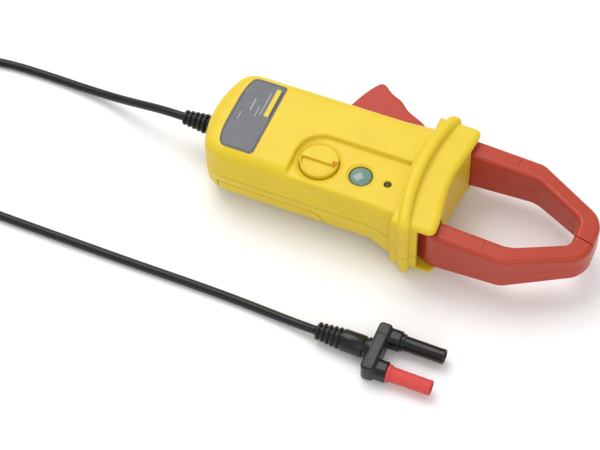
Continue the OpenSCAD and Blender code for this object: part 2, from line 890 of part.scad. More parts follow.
module coil_tie() {
    t = 0.6;
    color("dimgray") translate([coil_centre[0], coil_centre[1], coil_z]) difference() {
        translate([coil_mid_r - coil_half - 0.1 - t, -2.5, -t])
            cube([coil_half * 2 + 0.9 + 2 * t, 5, coil_half * 2 + 0.1 + 2 * t]);
        rotate_extrude($fn = 96) translate([coil_mid_r - coil_half, 0])
            square([coil_half * 2, coil_half * 2]);
    }
}

module strain_relief() {
    length = body_len + relief_end;
    color("black") translate([relief_end, 0, cord_z]) rotate([0, 90, 0]) {
        cylinder(r1 = cord_d / 2 + 0.6, r2 = collar_r - 0.4, h = -length);
        for (i = [0:5]) translate([0, 0, 1 + i * 3])
            cylinder(r = cord_d / 2 + 1.2 + i * 0.32, h = 1.5);
        translate([0, 0, -length - 0.5]) cylinder(r = collar_r, h = wall + 1.5);
        translate([0, 0, -length + wall + 0.7]) cylinder(r = collar_r + 1.2, h = 2);
    }
}

// ---- plug ----
plug_y = -87.4;
plug_z = 6;
block_x = 9;
block_t = 7;
arm_x = block_x + block_t;
sleeve_x = 22;
plug_neck_r = 5.7;
pin_contact_r = 2;

module at_plug(x, y) {
    translate([x, plug_y + y, plug_z]) rotate([0, 90, 0]) children();
}

module plug_relief() {
    color("black") {
        at_plug(-20, 0) cylinder(r1 = cord_d / 2 + 1, r2 = plug_neck_r - 0.6, h = 14);
        for (i = [0:4]) at_plug(-19 + i * 2.7, 0) cylinder(r = cord_d / 2 + 1.9 + i * 0.36, h = 1.4);
    }
}

module plug_neck() {
    color("black") at_plug(-6, 0) cylinder(r = plug_neck_r, h = block_x + 6);
}

module plug_block() {
    reach = plug_pitch / 2 + sleeve_r + 0.9;
    color("black") {
        translate([block_x, plug_y - reach, 0.3]) cube([block_t, 2 * reach, 2 * plug_z - 0.6]);
        for (s = [-1, 1]) translate([arm_x, plug_y + s * plug_pitch / 2 - sleeve_r - 0.9, 0.3])
            cube([sleeve_x - arm_x, 2 * sleeve_r + 1.8, 2 * plug_z - 0.6]);
    }
}

module sleeve(s) {
    at_plug(sleeve_x, s * plug_pitch / 2) difference() {
        cylinder(r = sleeve_r, h = sleeve_len);
        translate([0, 0, 3]) cylinder(r = sleeve_r - 0.8, h = sleeve_len);
        translate([0, 0, -1]) cylinder(r = pin_contact_r, h = 5);
    }
}

module black_sleeve() {
    color("black") sleeve(1);
}

module red_sleeve() {
    color("red") sleeve(-1);
}

module plug_pins() {
    color("silver") for (s = [-1, 1]) at_plug(sleeve_x, s * plug_pitch / 2)
        cylinder(r = pin_contact_r, h = sleeve_len - 1.5);
}

top_shell();
bottom_shell();
battery_door();
label_plate();
casing_screws();
circuit_board();
board_chips();
board_screws();
zero_trimmer();
button_switch();
lamp();
battery();
battery_snap();
foam_pad();
pivot_pins();
closing_spring();
strain_relief();
door_screw();
zero_knob();
knob_pointer();
trimmer_shaft();
power_button();
button_spring();
far_jaw_upper();
far_jaw_lower();
far_core();
far_sensor();
far_bush();
far_jaw_screws();
far_sector();
trigger();
near_jaw_upper();
near_jaw_lower();
near_core();
near_sensor();
near_bush();
near_jaw_screws();
near_sector();
cord_out();
cord_coil();
cord_back();
coil_tie();
plug_relief();
plug_neck();
plug_block();
black_sleeve();
red_sleeve();
plug_pins();
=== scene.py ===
"""A clamp meter on a pale table: yellow housing, red jaws, controls, output cord and twin plug.

Every visible shell is moulded here from a field of signed distances, so that its edges, fillets
and sunk details are those of a moulded part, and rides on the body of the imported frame.
Sizes in the classes are in millimetres; meshes are in metres.
"""
import logging
import math
from dataclasses import dataclass, field
from enum import Enum
from typing import Callable, Sequence

import bmesh
import bpy
import numpy as np
from mathutils import Matrix, Vector


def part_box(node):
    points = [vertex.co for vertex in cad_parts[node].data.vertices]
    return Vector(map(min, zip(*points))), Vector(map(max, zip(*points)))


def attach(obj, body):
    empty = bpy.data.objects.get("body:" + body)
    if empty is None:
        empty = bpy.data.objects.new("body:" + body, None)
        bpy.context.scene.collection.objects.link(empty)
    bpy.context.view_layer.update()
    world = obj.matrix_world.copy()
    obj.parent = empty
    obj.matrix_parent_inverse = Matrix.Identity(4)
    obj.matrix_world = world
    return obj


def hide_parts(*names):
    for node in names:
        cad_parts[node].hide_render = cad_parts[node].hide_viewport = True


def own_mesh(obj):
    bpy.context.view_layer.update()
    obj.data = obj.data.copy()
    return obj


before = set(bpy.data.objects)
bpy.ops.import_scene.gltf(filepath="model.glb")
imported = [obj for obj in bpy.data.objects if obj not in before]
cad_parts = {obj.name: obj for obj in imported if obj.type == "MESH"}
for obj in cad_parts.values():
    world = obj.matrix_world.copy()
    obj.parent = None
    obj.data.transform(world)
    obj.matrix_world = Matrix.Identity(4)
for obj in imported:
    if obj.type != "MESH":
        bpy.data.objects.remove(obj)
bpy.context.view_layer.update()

LOG = logging.getLogger("clamp")
MM = 0.001
FAR_AWAY = 1e9
FLOOR_SLACK = 0.1
STIFFNESS = 0.06
TINY = 1e-12
BRUSH_STRETCH = 0.08
TINT_PATCH = 14.0
GLOSS_PATCH = 5.0
GLOSS_SPREAD = 0.05
PATCH_EDGES = (0.3, 0.7)
BUMP_STRENGTH = 0.6
COAT_ROUGHNESS = 0.12
Array = np.ndarray
Field = Callable[[Array, Array, Array], Array]
Point = tuple[float, float, float]
Spot = tuple[float, float]
Feed = bpy.types.NodeSocket | float | Sequence[float]


# ---- distances -----------------------------------------------------------------------------


def edge(a: Array, b: Array, r: float) -> Array:
    """Crosses two solids and rounds the edge between them.

    Args:
        a: distance to the first solid.
        b: distance to the second solid.
        r: radius of the edge.

    Returns:
        The distance to what both solids hold.
    """
    return np.minimum(np.maximum(a, b), -r) + np.hypot(np.maximum(a + r, 0.0), np.maximum(b + r, 0.0))


def join(a: Array, b: Array, r: float) -> Array:
    """Joins two solids with a fillet of radius r between them."""
    return -edge(-a, -b, r)


def cut(a: Array, b: Array, r: float) -> Array:
    """Takes solid b out of solid a and rounds the rim to radius r."""
    return edge(a, -b, r)


def meet(*solids: Array) -> Array:
    """Distance to what all the solids hold, with sharp edges."""
    out = solids[0]
    for solid in solids[1:]:
        out = np.maximum(out, solid)
    return out


def slab(v: Array, low: float, high: float) -> Array:
    """Distance to the space between two parallel planes."""
    return np.abs(v - (low + high) / 2) - (high - low) / 2


def rounded_rect(u: Array, v: Array, half_u: float, half_v: float, r: float) -> Array:
    """Distance to a rectangle round the origin whose corners have radius r."""
    a = np.abs(u) - half_u + r
    b = np.abs(v) - half_v + r
    return np.minimum(np.maximum(a, b), 0.0) + np.hypot(np.maximum(a, 0.0), np.maximum(b, 0.0)) - r


def ramp(v: Array, low: float, high: float) -> Array:
    """A smooth step from 0 at low to 1 at high."""
    t = np.clip((v - low) / (high - low), 0.0, 1.0)
    return t * t * (3.0 - 2.0 * t)


def polygon(u: Array, v: Array, points: Sequence[Spot]) -> Array:
    """Distance to a flat outline.

    Args:
        u: first coordinate.
        v: second coordinate.
        points: the outline's corners, in order.

    Returns:
        The signed distance, negative inside.
    """
    best = np.full(np.broadcast(u, v).shape, FAR_AWAY ** 2)
    sign = np.ones(best.shape)
    for (ax, ay), (bx, by) in zip(points, list(points[1:]) + [points[0]]):
        ex, ey = bx - ax, by - ay
        wx, wy = u - ax, v - ay
        t = np.clip((wx * ex + wy * ey) / (ex * ex + ey * ey), 0.0, 1.0)
        best = np.minimum(best, (wx - t * ex) ** 2 + (wy - t * ey) ** 2)
        below, above, left = v >= ay, v < by, ex * wy > ey * wx
        flip = (below & above & left) | (~below & ~above & ~left)
        sign = np.where(flip, -sign, sign)
    return sign * np.sqrt(best)


def softened(points: Sequence[Spot], rounds: int = 2) -> list[Spot]:
    """Cuts an outline's corners off again and again, so that it flows."""
    out = [tuple(p) for p in points]
    for _ in range(rounds):
        out = [(a[0] * w + b[0] * (1 - w), a[1] * w + b[1] * (1 - w))
               for a, b in zip(out, out[1:] + out[:1]) for w in (0.75, 0.25)]
    return out


# ---- meshes --------------------------------------------------------------------------------


def place(name: str, mesh: bpy.types.Mesh) -> bpy.types.Object:
    """Puts a mesh into the scene at the origin."""
    obj = bpy.data.objects.new(f"{name}_piece" if name in bpy.data.objects else name, mesh)
    bpy.context.scene.collection.objects.link(obj)
    return obj


def shade(mesh: bpy.types.Mesh, angle: float = 38.0) -> None:
    """Shades a mesh smooth and keeps edges sharper than the angle in degrees crisp."""
    mesh.polygons.foreach_set("use_smooth", np.ones(len(mesh.polygons), dtype=bool))
    mesh.set_sharp_from_angle(angle=math.radians(angle))
    mesh.update()


def bake(obj: bpy.types.Object) -> bpy.types.Mesh:
    """Turns a piece with its modifiers into a plain mesh, which keeps the piece's name."""
    done = bpy.data.meshes.new_from_object(obj.evaluated_get(bpy.context.evaluated_depsgraph_get()))
    obj.modifiers.clear()
    obj.data = done
    done.name = obj.name
    return done


@dataclass
class Mould:
    """Turns a field of signed distances into a closed mesh that keeps true edges.

    Args:
        low: lowest corner of the space, in millimetres.
        high: highest corner of the space.
        cell: size of the cells.
    """

    low: Point
    high: Point
    cell: float

    def pour(self, name: str, shape: Field, keep: float = 1.0) -> bpy.types.Object:
        """Makes the mesh of a shape.

        Args:
            name: name of the new object.
            shape: the field, negative inside the solid.
            keep: share of the faces left after thinning.

        Returns:
            The object, in metres, at the origin.
        """
        corners, quads = self._surface(shape)
        mesh = bpy.data.meshes.new(name)
        mesh.vertices.add(len(corners))
        mesh.vertices.foreach_set("co", (corners * MM).astype(np.float32).ravel())
        mesh.loops.add(quads.size)
        mesh.loops.foreach_set("vertex_index", quads.astype(np.int32).ravel())
        mesh.polygons.add(len(quads))
        mesh.polygons.foreach_set("loop_start", np.arange(0, quads.size, 4, dtype=np.int32))
        mesh.update(calc_edges=True)
        mesh.validate()
        obj = place(name, mesh)
        if keep < 1.0:
            thin = obj.modifiers.new("thin", "DECIMATE")
            thin.ratio = keep
            for corner in bake(obj).vertices:
                corner.co.z = max(corner.co.z, (self.low[2] + FLOOR_SLACK) * MM, 0.0)
        shade(obj.data)
        LOG.info("%s: %d faces", name, len(obj.data.polygons))
        return obj

    def _surface(self, shape: Field) -> tuple[Array, Array]:
        """Finds the corners and quads of the surface where the field is zero."""
        axes = [np.arange(l, h + self.cell, self.cell) for l, h in zip(self.low, self.high)]
        values = shape(axes[0][:, None, None], axes[1][None, :, None], axes[2][None, None, :])
        values = np.broadcast_to(values, [len(a) for a in axes])
        inside = values < 0
        cells = np.array(values.shape) - 1
        quads, points, normals = [], [], []
        for axis in range(3):
            near, past = [slice(None)] * 3, [slice(None)] * 3
            near[axis], past[axis] = slice(0, -1), slice(1, None)
            where = np.argwhere(inside[tuple(near)] != inside[tuple(past)])
            step = np.eye(3, dtype=int)[axis]
            start = np.array(self.low) + where * self.cell
            f0 = values[tuple(where.T)]
            f1 = values[tuple((where + step).T)]
            points.append(self._crossing(shape, start, step * self.cell, f0, f1))
            normals.append(self._slope(shape, points[-1]))
            u, v = np.roll(step, 1), np.roll(step, 2)
            around = [where - u - v, where - v, where, where - u]
            flat = np.stack([np.ravel_multi_index(tuple(c.T), cells) for c in around], axis=1)
            quads.append(np.where((f0 < 0)[:, None], flat, flat[:, ::-1]))
        point, normal, quad = np.concatenate(points), np.concatenate(normals), np.concatenate(quads)
        ids, ties = np.unique(quad, return_inverse=True)
        ties = ties.reshape(quad.shape)
        centre = np.array(self.low) + (np.array(np.unravel_index(ids, cells)).T + 0.5) * self.cell
        return self._corners(point, normal, ties, centre), ties

    def _crossing(self, shape: Field, start: Array, step: Array, f0: Array, f1: Array) -> Array:
        """Finds where the surface crosses each grid line."""
        t0, t1 = np.zeros(len(start)), np.ones(len(start))
        f0, f1 = f0.copy(), f1.copy()
        for _ in range(3):
            t = np.clip(t0 + (t1 - t0) * f0 / (f0 - f1), 0.0, 1.0)
            p = start + t[:, None] * step
            f = shape(p[:, 0], p[:, 1], p[:, 2])
            same = (f < 0) == (f0 < 0)
            t0, f0 = np.where(same, t, t0), np.where(same, f, f0)
            t1, f1 = np.where(same, t1, t), np.where(same, f1, f)
            f1 = np.where(f0 == f1, f1 + TINY, f1)
        return p

    @staticmethod
    def _slope(shape: Field, p: Array, h: float = 0.02) -> Array:
        """Gives the surface's normal at each point."""
        x, y, z = p.T
        n = np.stack([
            shape(x + h, y, z) - shape(x - h, y, z),
            shape(x, y + h, z) - shape(x, y - h, z),
            shape(x, y, z + h) - shape(x, y, z - h),
        ], axis=1)
        return n / np.maximum(np.linalg.norm(n, axis=1, keepdims=True), TINY)

    def _corners(self, point: Array, normal: Array, ties: Array, centre: Array) -> Array:
        """Puts each cell's corner where the planes through its crossings meet."""
        cell = ties.ravel()
        p = np.repeat(point, 4, axis=0) - centre[cell]
        n = np.repeat(normal, 4, axis=0)
        count = len(centre)

        def total(w: Array) -> Array:
            """Adds a weight up over each cell."""
            return np.bincount(cell, weights=w, minlength=count)

        share = total(np.ones(len(cell)))
        middle = np.stack([total(p[:, k]) for k in range(3)], axis=1) / share[:, None]
        reach = np.einsum("ij,ij->i", n, p - middle[cell])
        a = np.empty((count, 3, 3))
        b = np.empty((count, 3))
        for i in range(3):
            b[:, i] = total(n[:, i] * reach)
            for k in range(i, 3):
                a[:, i, k] = a[:, k, i] = total(n[:, i] * n[:, k])
        a += np.eye(3) * STIFFNESS
        shift = np.linalg.solve(a, b[:, :, None])[:, :, 0]
        half = self.cell * 0.5
        return centre + np.clip(middle + shift, -half, half)


def outward(obj: bpy.types.Object) -> None:
    """Points every face of a closed mesh outwards."""
    work = bmesh.new()
    work.from_mesh(obj.data)
    bmesh.ops.recalc_face_normals(work, faces=work.faces)
    work.to_mesh(obj.data)
    work.free()


def closed(name: str, verts: Sequence[Sequence[float]], faces: Sequence[Sequence[int]],
           angle: float = 38.0) -> bpy.types.Object:
    """Makes a closed piece of corners, in metres, and faces.

    Args:
        name: name of the object.
        verts: the corners.
        faces: the corners of each face.
        angle: edges sharper than this, in degrees, stay crisp.

    Returns:
        The object, whose faces point outwards.
    """
    mesh = bpy.data.meshes.new(name)
    mesh.from_pydata([tuple(v) for v in verts], [], faces)
    mesh.update()
    obj = place(name, mesh)
    outward(obj)
    shade(mesh, angle)
    return obj


def lathe(name: str, profile: Sequence[Spot], at: Point, turns: int = 64) -> bpy.types.Object:
    """Turns a closed outline of (distance along, radius) points round an axis along X.

    Args:
        name: name of the object.
        profile: the outline, which starts and ends on the axis.
        at: where the outline's zero lies, in millimetres.
        turns: faces round the axis.

    Returns:
        The object, at the origin, in metres.
    """
    verts: list[Point] = []
    faces: list[list[int]] = []
    rings: list[list[int]] = []
    for along, radius in profile:
        count = turns if radius else 1
        rings.append(list(range(len(verts), len(verts) + count)))
        angles = [2 * math.pi * k / turns for k in range(count)]
        verts += [(along, radius * math.cos(a), radius * math.sin(a)) for a in angles]
    for a, b in zip(rings, rings[1:]):
        for k in range(turns):
            m = (k + 1) % turns
            corners = (a[k % len(a)], b[k % len(b)], b[m % len(b)], a[m % len(a)])
            face = list(dict.fromkeys(corners))
            if len(face) > 2:
                faces.append(face)
    return closed(name, [[(c + o) * MM for c, o in zip(v, at)] for v in verts], faces, 32.0)


def sweep(name: str, path: Sequence[Vector], radius: float, sides: int = 14) -> bpy.types.Object:
    """Draws a round tube along a path.

    Args:
        name: name of the object.
        path: the points it follows, in metres.
        radius: radius of the tube, in metres.
        sides: faces round it.

    Returns:
        The closed tube.
    """
    verts: list[Vector] = []
    faces: list[list[int]] = []
    side = Vector((0.3, 0.8, 0.5))
    for i, p in enumerate(path):
        ahead = (path[min(i + 1, len(path) - 1)] - path[max(i - 1, 0)]).normalized()
        side = (side - ahead * side.dot(ahead)).normalized()
        up = ahead.cross(side)
        for k in range(sides):
            a = 2 * math.pi * k / sides
            verts.append(p + side * (radius * math.cos(a)) + up * (radius * math.sin(a)))
    for i in range(len(path) - 1):
        for k in range(sides):
            m = (k + 1) % sides
            faces.append([i * sides + k, i * sides + m, (i + 1) * sides + m, (i + 1) * sides + k])
    faces.append(list(range(sides - 1, -1, -1)))
    faces.append([(len(path) - 1) * sides + k for k in range(sides)])
    return closed(name, verts, faces)


# ---- finishes ------------------------------------------------------------------------------


def linear(colour: tuple[int, int, int]) -> tuple[float, float, float, float]:
    """Turns a display colour of 0 to 255 into the linear colour that the shader takes."""
    out = []
    for c in colour:
        v = c / 255
        out.append(v / 12.92 if v <= 0.04045 else ((v + 0.055) / 1.055) ** 2.4)
    return (out[0], out[1], out[2], 1.0)


def feed(tree: bpy.types.NodeTree, socket: bpy.types.NodeSocket, source: Feed) -> None:
    """Feeds an input from another node's socket, or with a value."""
    if isinstance(source, bpy.types.NodeSocket):
        tree.links.new(source, socket)
    else:
        socket.default_value = source


def wire(tree: bpy.types.NodeTree, kind: str, **feeds: Feed) -> bpy.types.Node:
    """Adds a node and feeds its inputs.

    Args:
        tree: the node tree.
        kind: type of the node.
        feeds: a socket or a value for each input, with _ for a space in its name.

    Returns:
        The node.
    """
    node = tree.nodes.new(kind)
    for label, source in feeds.items():
        feed(tree, node.inputs[label.replace("_", " ")], source)
    return node


class Texture(Enum):
    """How the surface of a finish is broken up."""

    SPARK = "spark"
    BRUSHED = "brushed"
    WOVEN = "woven"


@dataclass(frozen=True)
class Finish:
    """A node material for one kind of surface.

    Args:
        name: name of the material.
        colour: its display colour, 0 to 255.
        roughness: how dull it is.
        tint: how far the colour wanders over the piece.
        grain: size of the texture, in millimetres.
        depth: depth of the texture, in millimetres.
        metallic: 1 for bare metal.
        coat: weight of a clear layer.
        gloss: strength of the reflection off the surface itself.
        glow: share of the light that spreads under the surface.
        texture: kind of texture.
    """

    name: str
    colour: tuple[int, int, int]
    roughness: float = 0.42
    tint: float = 0.05
    grain: float = 0.35
    depth: float = 0.012
    metallic: float = 0.0
    coat: float = 0.0
    gloss: float = 0.5
    glow: float = 0.0
    texture: Texture = Texture.SPARK

    def material(self) -> bpy.types.Material:
        """Builds the material, or returns it if it is built already."""
        known = bpy.data.materials.get(self.name)
        if known:
            return known
        mat = bpy.data.materials.new(self.name)
        mat.use_nodes = True
        tree = mat.node_tree
        given = {"Metallic": self.metallic, "Coat Weight": self.coat, "Specular IOR Level": self.gloss,
                 "Coat Roughness": COAT_ROUGHNESS}
        if self.glow:
            given |= {"Subsurface Weight": self.glow, "Subsurface Radius": (0.0016, 0.0009, 0.0004),
                      "Subsurface Scale": 1.0}
        where = wire(tree, "ShaderNodeTexCoord").outputs["Object"]
        along = BRUSH_STRETCH if self.texture is Texture.BRUSHED else 1.0
        stretch = wire(tree, "ShaderNodeMapping", Vector=where, Scale=(along, 1.0, 1.0)).outputs["Vector"]
        given |= {"Base Color": self._tint(tree, where), "Roughness": self._dull(tree, where),
                  "Normal": self._grain(tree, stretch)}
        for label, source in given.items():
            feed(tree, tree.nodes["Principled BSDF"].inputs[label], source)
        return mat

    def _noise(self, tree: bpy.types.NodeTree, vector: bpy.types.NodeSocket, size: float,
               detail: float) -> bpy.types.NodeSocket:
        """Adds noise whose patches are about size millimetres across."""
        noise = wire(tree, "ShaderNodeTexNoise", Vector=vector, Scale=1.0 / (size * MM), Detail=detail)
        return noise.outputs["Fac"]

    def _tint(self, tree: bpy.types.NodeTree, where: bpy.types.NodeSocket) -> bpy.types.NodeSocket:
        """Lets the colour wander between two near shades."""
        shades = wire(tree, "ShaderNodeValToRGB", Fac=self._noise(tree, where, TINT_PATCH, 3.0))
        base = linear(self.colour)[:3]
        shares = (1 - self.tint, 1 + self.tint)
        for stop, spot, share in zip(shades.color_ramp.elements, PATCH_EDGES, shares):
            stop.position = spot
            stop.color = tuple(min(c * share, 1.0) for c in base) + (1.0,)
        return shades.outputs["Color"]

    def _dull(self, tree: bpy.types.NodeTree, where: bpy.types.NodeSocket) -> bpy.types.NodeSocket:
        """Lets the gloss vary as handling leaves it."""
        span = wire(tree, "ShaderNodeMapRange", Value=self._noise(tree, where, GLOSS_PATCH, 5.0),
                    From_Min=PATCH_EDGES[0], From_Max=PATCH_EDGES[1],
                    To_Min=max(self.roughness - GLOSS_SPREAD, 0.02),
                    To_Max=min(self.roughness + GLOSS_SPREAD, 1.0))
        return span.outputs["Result"]

    def _grain(self, tree: bpy.types.NodeTree, stretch: bpy.types.NodeSocket) -> bpy.types.NodeSocket:
        """Presses the fine texture into the surface."""
        if self.texture is Texture.WOVEN:
            cells = wire(tree, "ShaderNodeTexVoronoi", Vector=stretch, Scale=1.0 / (self.grain * MM))
            height = cells.outputs["Distance"]
        else:
            height = self._noise(tree, stretch, self.grain, 2.0)
        return wire(tree, "ShaderNodeBump", Strength=BUMP_STRENGTH, Distance=self.depth * MM,
                    Height=height).outputs["Normal"]

    def dress(self, obj: bpy.types.Object) -> None:
        """Gives every face of a piece this finish."""
        mat = self.material()
        if not obj.data.materials:
            obj.data.materials.append(mat)
        for slot in obj.material_slots:
            slot.material = mat


# Each row of keywords holds what the finishes of one family share.
PRINTED = dict(tint=0.04, grain=0.2)
DARK = dict(gloss=0.4, tint=0.08, grain=0.3)
METAL = dict(metallic=1.0, texture=Texture.BRUSHED)
YELLOW = Finish("yellow_shell", (221, 192, 44), tint=0.025, grain=0.45, gloss=0.32, glow=0.05)
RED = Finish("red_jaw", (174, 60, 38), roughness=0.34, gloss=0.36, tint=0.03, grain=0.5, depth=0.016)
TRIGGER_RED = Finish("red_trigger", (176, 54, 36), gloss=0.36, tint=0.03, grain=0.5, depth=0.014)
GREY_LABEL = Finish("grey_label", (98, 99, 103), roughness=0.5, depth=0.004, **PRINTED)
DARK_LINE = Finish("label_line", (62, 62, 68), roughness=0.55, depth=0.004, **PRINTED)
PALE_PRINT = Finish("pale_print", (168, 168, 174), roughness=0.55, depth=0.003, **PRINTED)
BUTTON_GREEN = Finish("button_green", (104, 134, 124), roughness=0.16, tint=0.03, grain=0.4,
                      depth=0.006, coat=0.5, glow=0.1)
ORANGE = Finish("orange_mark", (212, 112, 16), roughness=0.55, gloss=0.25)
RUBBER = Finish("black_rubber", (14, 14, 14), roughness=0.4, depth=0.014, **DARK)
BLACK = Finish("black_moulding", (12, 12, 12), roughness=0.3, depth=0.01, **DARK)
PLUG_RED = Finish("red_sleeve", (146, 36, 20), roughness=0.32, gloss=0.36, tint=0.03, grain=0.3, depth=0.008)
STEEL = Finish("steel", (178, 178, 180), roughness=0.3, grain=0.12, depth=0.004, **METAL)
NICKEL = Finish("nickel", (205, 203, 198), roughness=0.18, tint=0.03, grain=0.1, depth=0.002, **METAL)
BRASS = Finish("brass", (196, 154, 84), roughness=0.3, grain=0.12, depth=0.004, **METAL)
CORE = Finish("laminated_core", (120, 122, 126), roughness=0.4, tint=0.06, depth=0.02, **METAL)
MASK = Finish("solder_mask", (30, 96, 52), roughness=0.35, tint=0.06, grain=0.8, depth=0.01, coat=0.3)
CHIP = Finish("chip_black", (38, 38, 40), roughness=0.55, tint=0.06)
BLUE = Finish("trimmer_blue", (48, 84, 168), roughness=0.45)
WHITE = Finish("shaft_white", (222, 220, 210), roughness=0.45, tint=0.03)
LED = Finish("lamp_lens", (72, 70, 58), roughness=0.45, tint=0.02, grain=0.5, depth=0.004)
CAN = Finish("battery_can", (54, 60, 66), roughness=0.38, tint=0.06, grain=0.6, depth=0.006, coat=0.3)
FOAM = Finish("foam", (74, 74, 78), roughness=0.95, tint=0.1, grain=0.5, depth=0.12, texture=Texture.WOVEN)
NYLON = Finish("black_nylon", (44, 44, 46), roughness=0.5, tint=0.06, grain=0.4, depth=0.01)

CARRIED: dict[str, Finish] = {
    "circuit_board": MASK, "board_chips": CHIP, "board_screws": STEEL, "zero_trimmer": BLUE,
    "button_switch": CHIP, "battery": CAN, "battery_snap": CHIP, "foam_pad": FOAM,
    "pivot_pins": STEEL, "closing_spring": STEEL, "button_spring": STEEL, "trimmer_shaft": WHITE,
    "far_core": CORE, "near_core": CORE, "far_sensor": MASK, "near_sensor": MASK,
    "far_bush": BRASS, "near_bush": BRASS, "far_jaw_screws": STEEL, "near_jaw_screws": STEEL,
    "near_sector": NYLON, "far_sector": NYLON, "knob_pointer": ORANGE, "plug_pins": NICKEL,
    "door_screw": STEEL, "coil_tie": NYLON, "casing_screws": STEEL, "lamp": LED,
}


def settle(obj: bpy.types.Object, finish: Finish, body: str, slot: str, *nodes: str) -> bpy.types.Object:
    """Dresses a piece, lets it ride on its body and stand for CAD nodes.

    Args:
        obj: the piece.
        finish: its finish.
        body: the body it moves with.
        slot: not used.
        nodes: the CAD nodes that it stands for.

    Returns:
        The same piece.
    """
    finish.dress(obj)
    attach(obj, body)
    if nodes:
        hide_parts(*nodes)
    LOG.info("%s rides on %s", obj.name, body)
    return obj


# ---- places taken from the frame -----------------------------------------------------------


def corners_of(node: str) -> tuple[Point, Point]:
    """Gives the lowest and highest corners of a CAD node, in millimetres, to the nearest tenth."""
    low, high = (tuple(round(c / MM, 1) for c in p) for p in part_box(node))
    return low, high


def middle(node: str) -> Point:
    """Gives the middle of a CAD node's box, in millimetres, to the nearest tenth."""
    low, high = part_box(node)
    return tuple(round((a + b) / 2 / MM, 1) for a, b in zip(low, high))


HOUSING_LOW, HOUSING_HIGH = corners_of("top_shell")
KNOB_AT, BUTTON_AT, LAMP_AT = middle("zero_knob")[:2], middle("power_button")[:2], middle("lamp")[:2]
PIVOTS = (middle("far_bush")[:2], middle("near_bush")[:2])
JAW_Z = middle("far_bush")[2]
CORD_Z = middle("strain_relief")[2]
PLUG_Y, PLUG_Z = middle("plug_block")[1:]


# ---- camera and light ----------------------------------------------------------------------


@dataclass
class Studio:
    """The table, the lamps and the camera."""

    aim: Point = (-49.3, -38.7, 17.1)
    distance: float = 921.4
    azimuth: float = 25.54
    elevation: float = 55.14
    roll: float = -2.87
    lens: float = 107.9
    sky: float = 0.7

    def camera(self) -> None:
        """Puts the camera where the view is taken from."""
        a, e, r = (math.radians(v) for v in (self.azimuth, self.elevation, self.roll))
        back = Vector((math.sin(a) * math.cos(e), -math.cos(a) * math.cos(e), math.sin(e)))
        right = Vector((math.cos(a), math.sin(a), 0.0))
        up = back.cross(right)
        right, up = right * math.cos(r) + up * math.sin(r), up * math.cos(r) - right * math.sin(r)
        eye = bpy.data.cameras.new("camera")
        eye.lens = self.lens
        eye.sensor_width = 36.0
        eye.clip_start = 0.01
        eye.clip_end = 20.0
        obj = bpy.data.objects.new("camera", eye)
        turned = Matrix((right, up, back)).transposed().to_4x4()
        turned.translation = (Vector(self.aim) + back * self.distance) * MM
        obj.matrix_world = turned
        bpy.context.scene.collection.objects.link(obj)
        bpy.context.scene.camera = obj

    def floor(self) -> None:
        """Lays the pale table under the object."""
        mesh = bpy.data.meshes.new("floor")
        half = 3.0
        corners = [(-half, -half, 0), (half, -half, 0), (half, half, 0), (-half, half, 0)]
        mesh.from_pydata(corners, [], [(0, 1, 2, 3)])
        obj = place("floor", mesh)
        mat = bpy.data.materials.new("table")
        mat.use_nodes = True
        shader = mat.node_tree.nodes["Principled BSDF"]
        shader.inputs["Base Color"].default_value = (0.94, 0.94, 0.94, 1.0)
        shader.inputs["Roughness"].default_value = 0.9
        mesh.materials.append(mat)

    def lamp(self, name: str, at: Point, size: float, power: float) -> None:
        """Hangs a soft square lamp that looks at the object."""
        light = bpy.data.lights.new(name, "AREA")
        light.size = size
        light.energy = power
        obj = bpy.data.objects.new(name, light)
        obj.location = at
        obj.rotation_euler = (Vector(at) - Vector((-0.03, -0.02, 0.0))).to_track_quat("Z", "Y").to_euler()
        bpy.context.scene.collection.objects.link(obj)

    def light(self) -> None:
        """Sets the soft studio light."""
        world = bpy.data.worlds.new("studio")
        world.use_nodes = True
        sky = world.node_tree.nodes["Background"]
        sky.inputs["Color"].default_value = (1.0, 1.0, 1.0, 1.0)
        sky.inputs["Strength"].default_value = self.sky
        bpy.context.scene.world = world
        self.lamp("key", (-0.45, 0.35, 1.1), 0.9, 9.0)
        self.lamp("fill", (0.5, -0.9, 0.8), 1.0, 3.0)
        bpy.context.scene.view_settings.view_transform = "Standard"


# ---- cord ----------------------------------------------------------------------------------


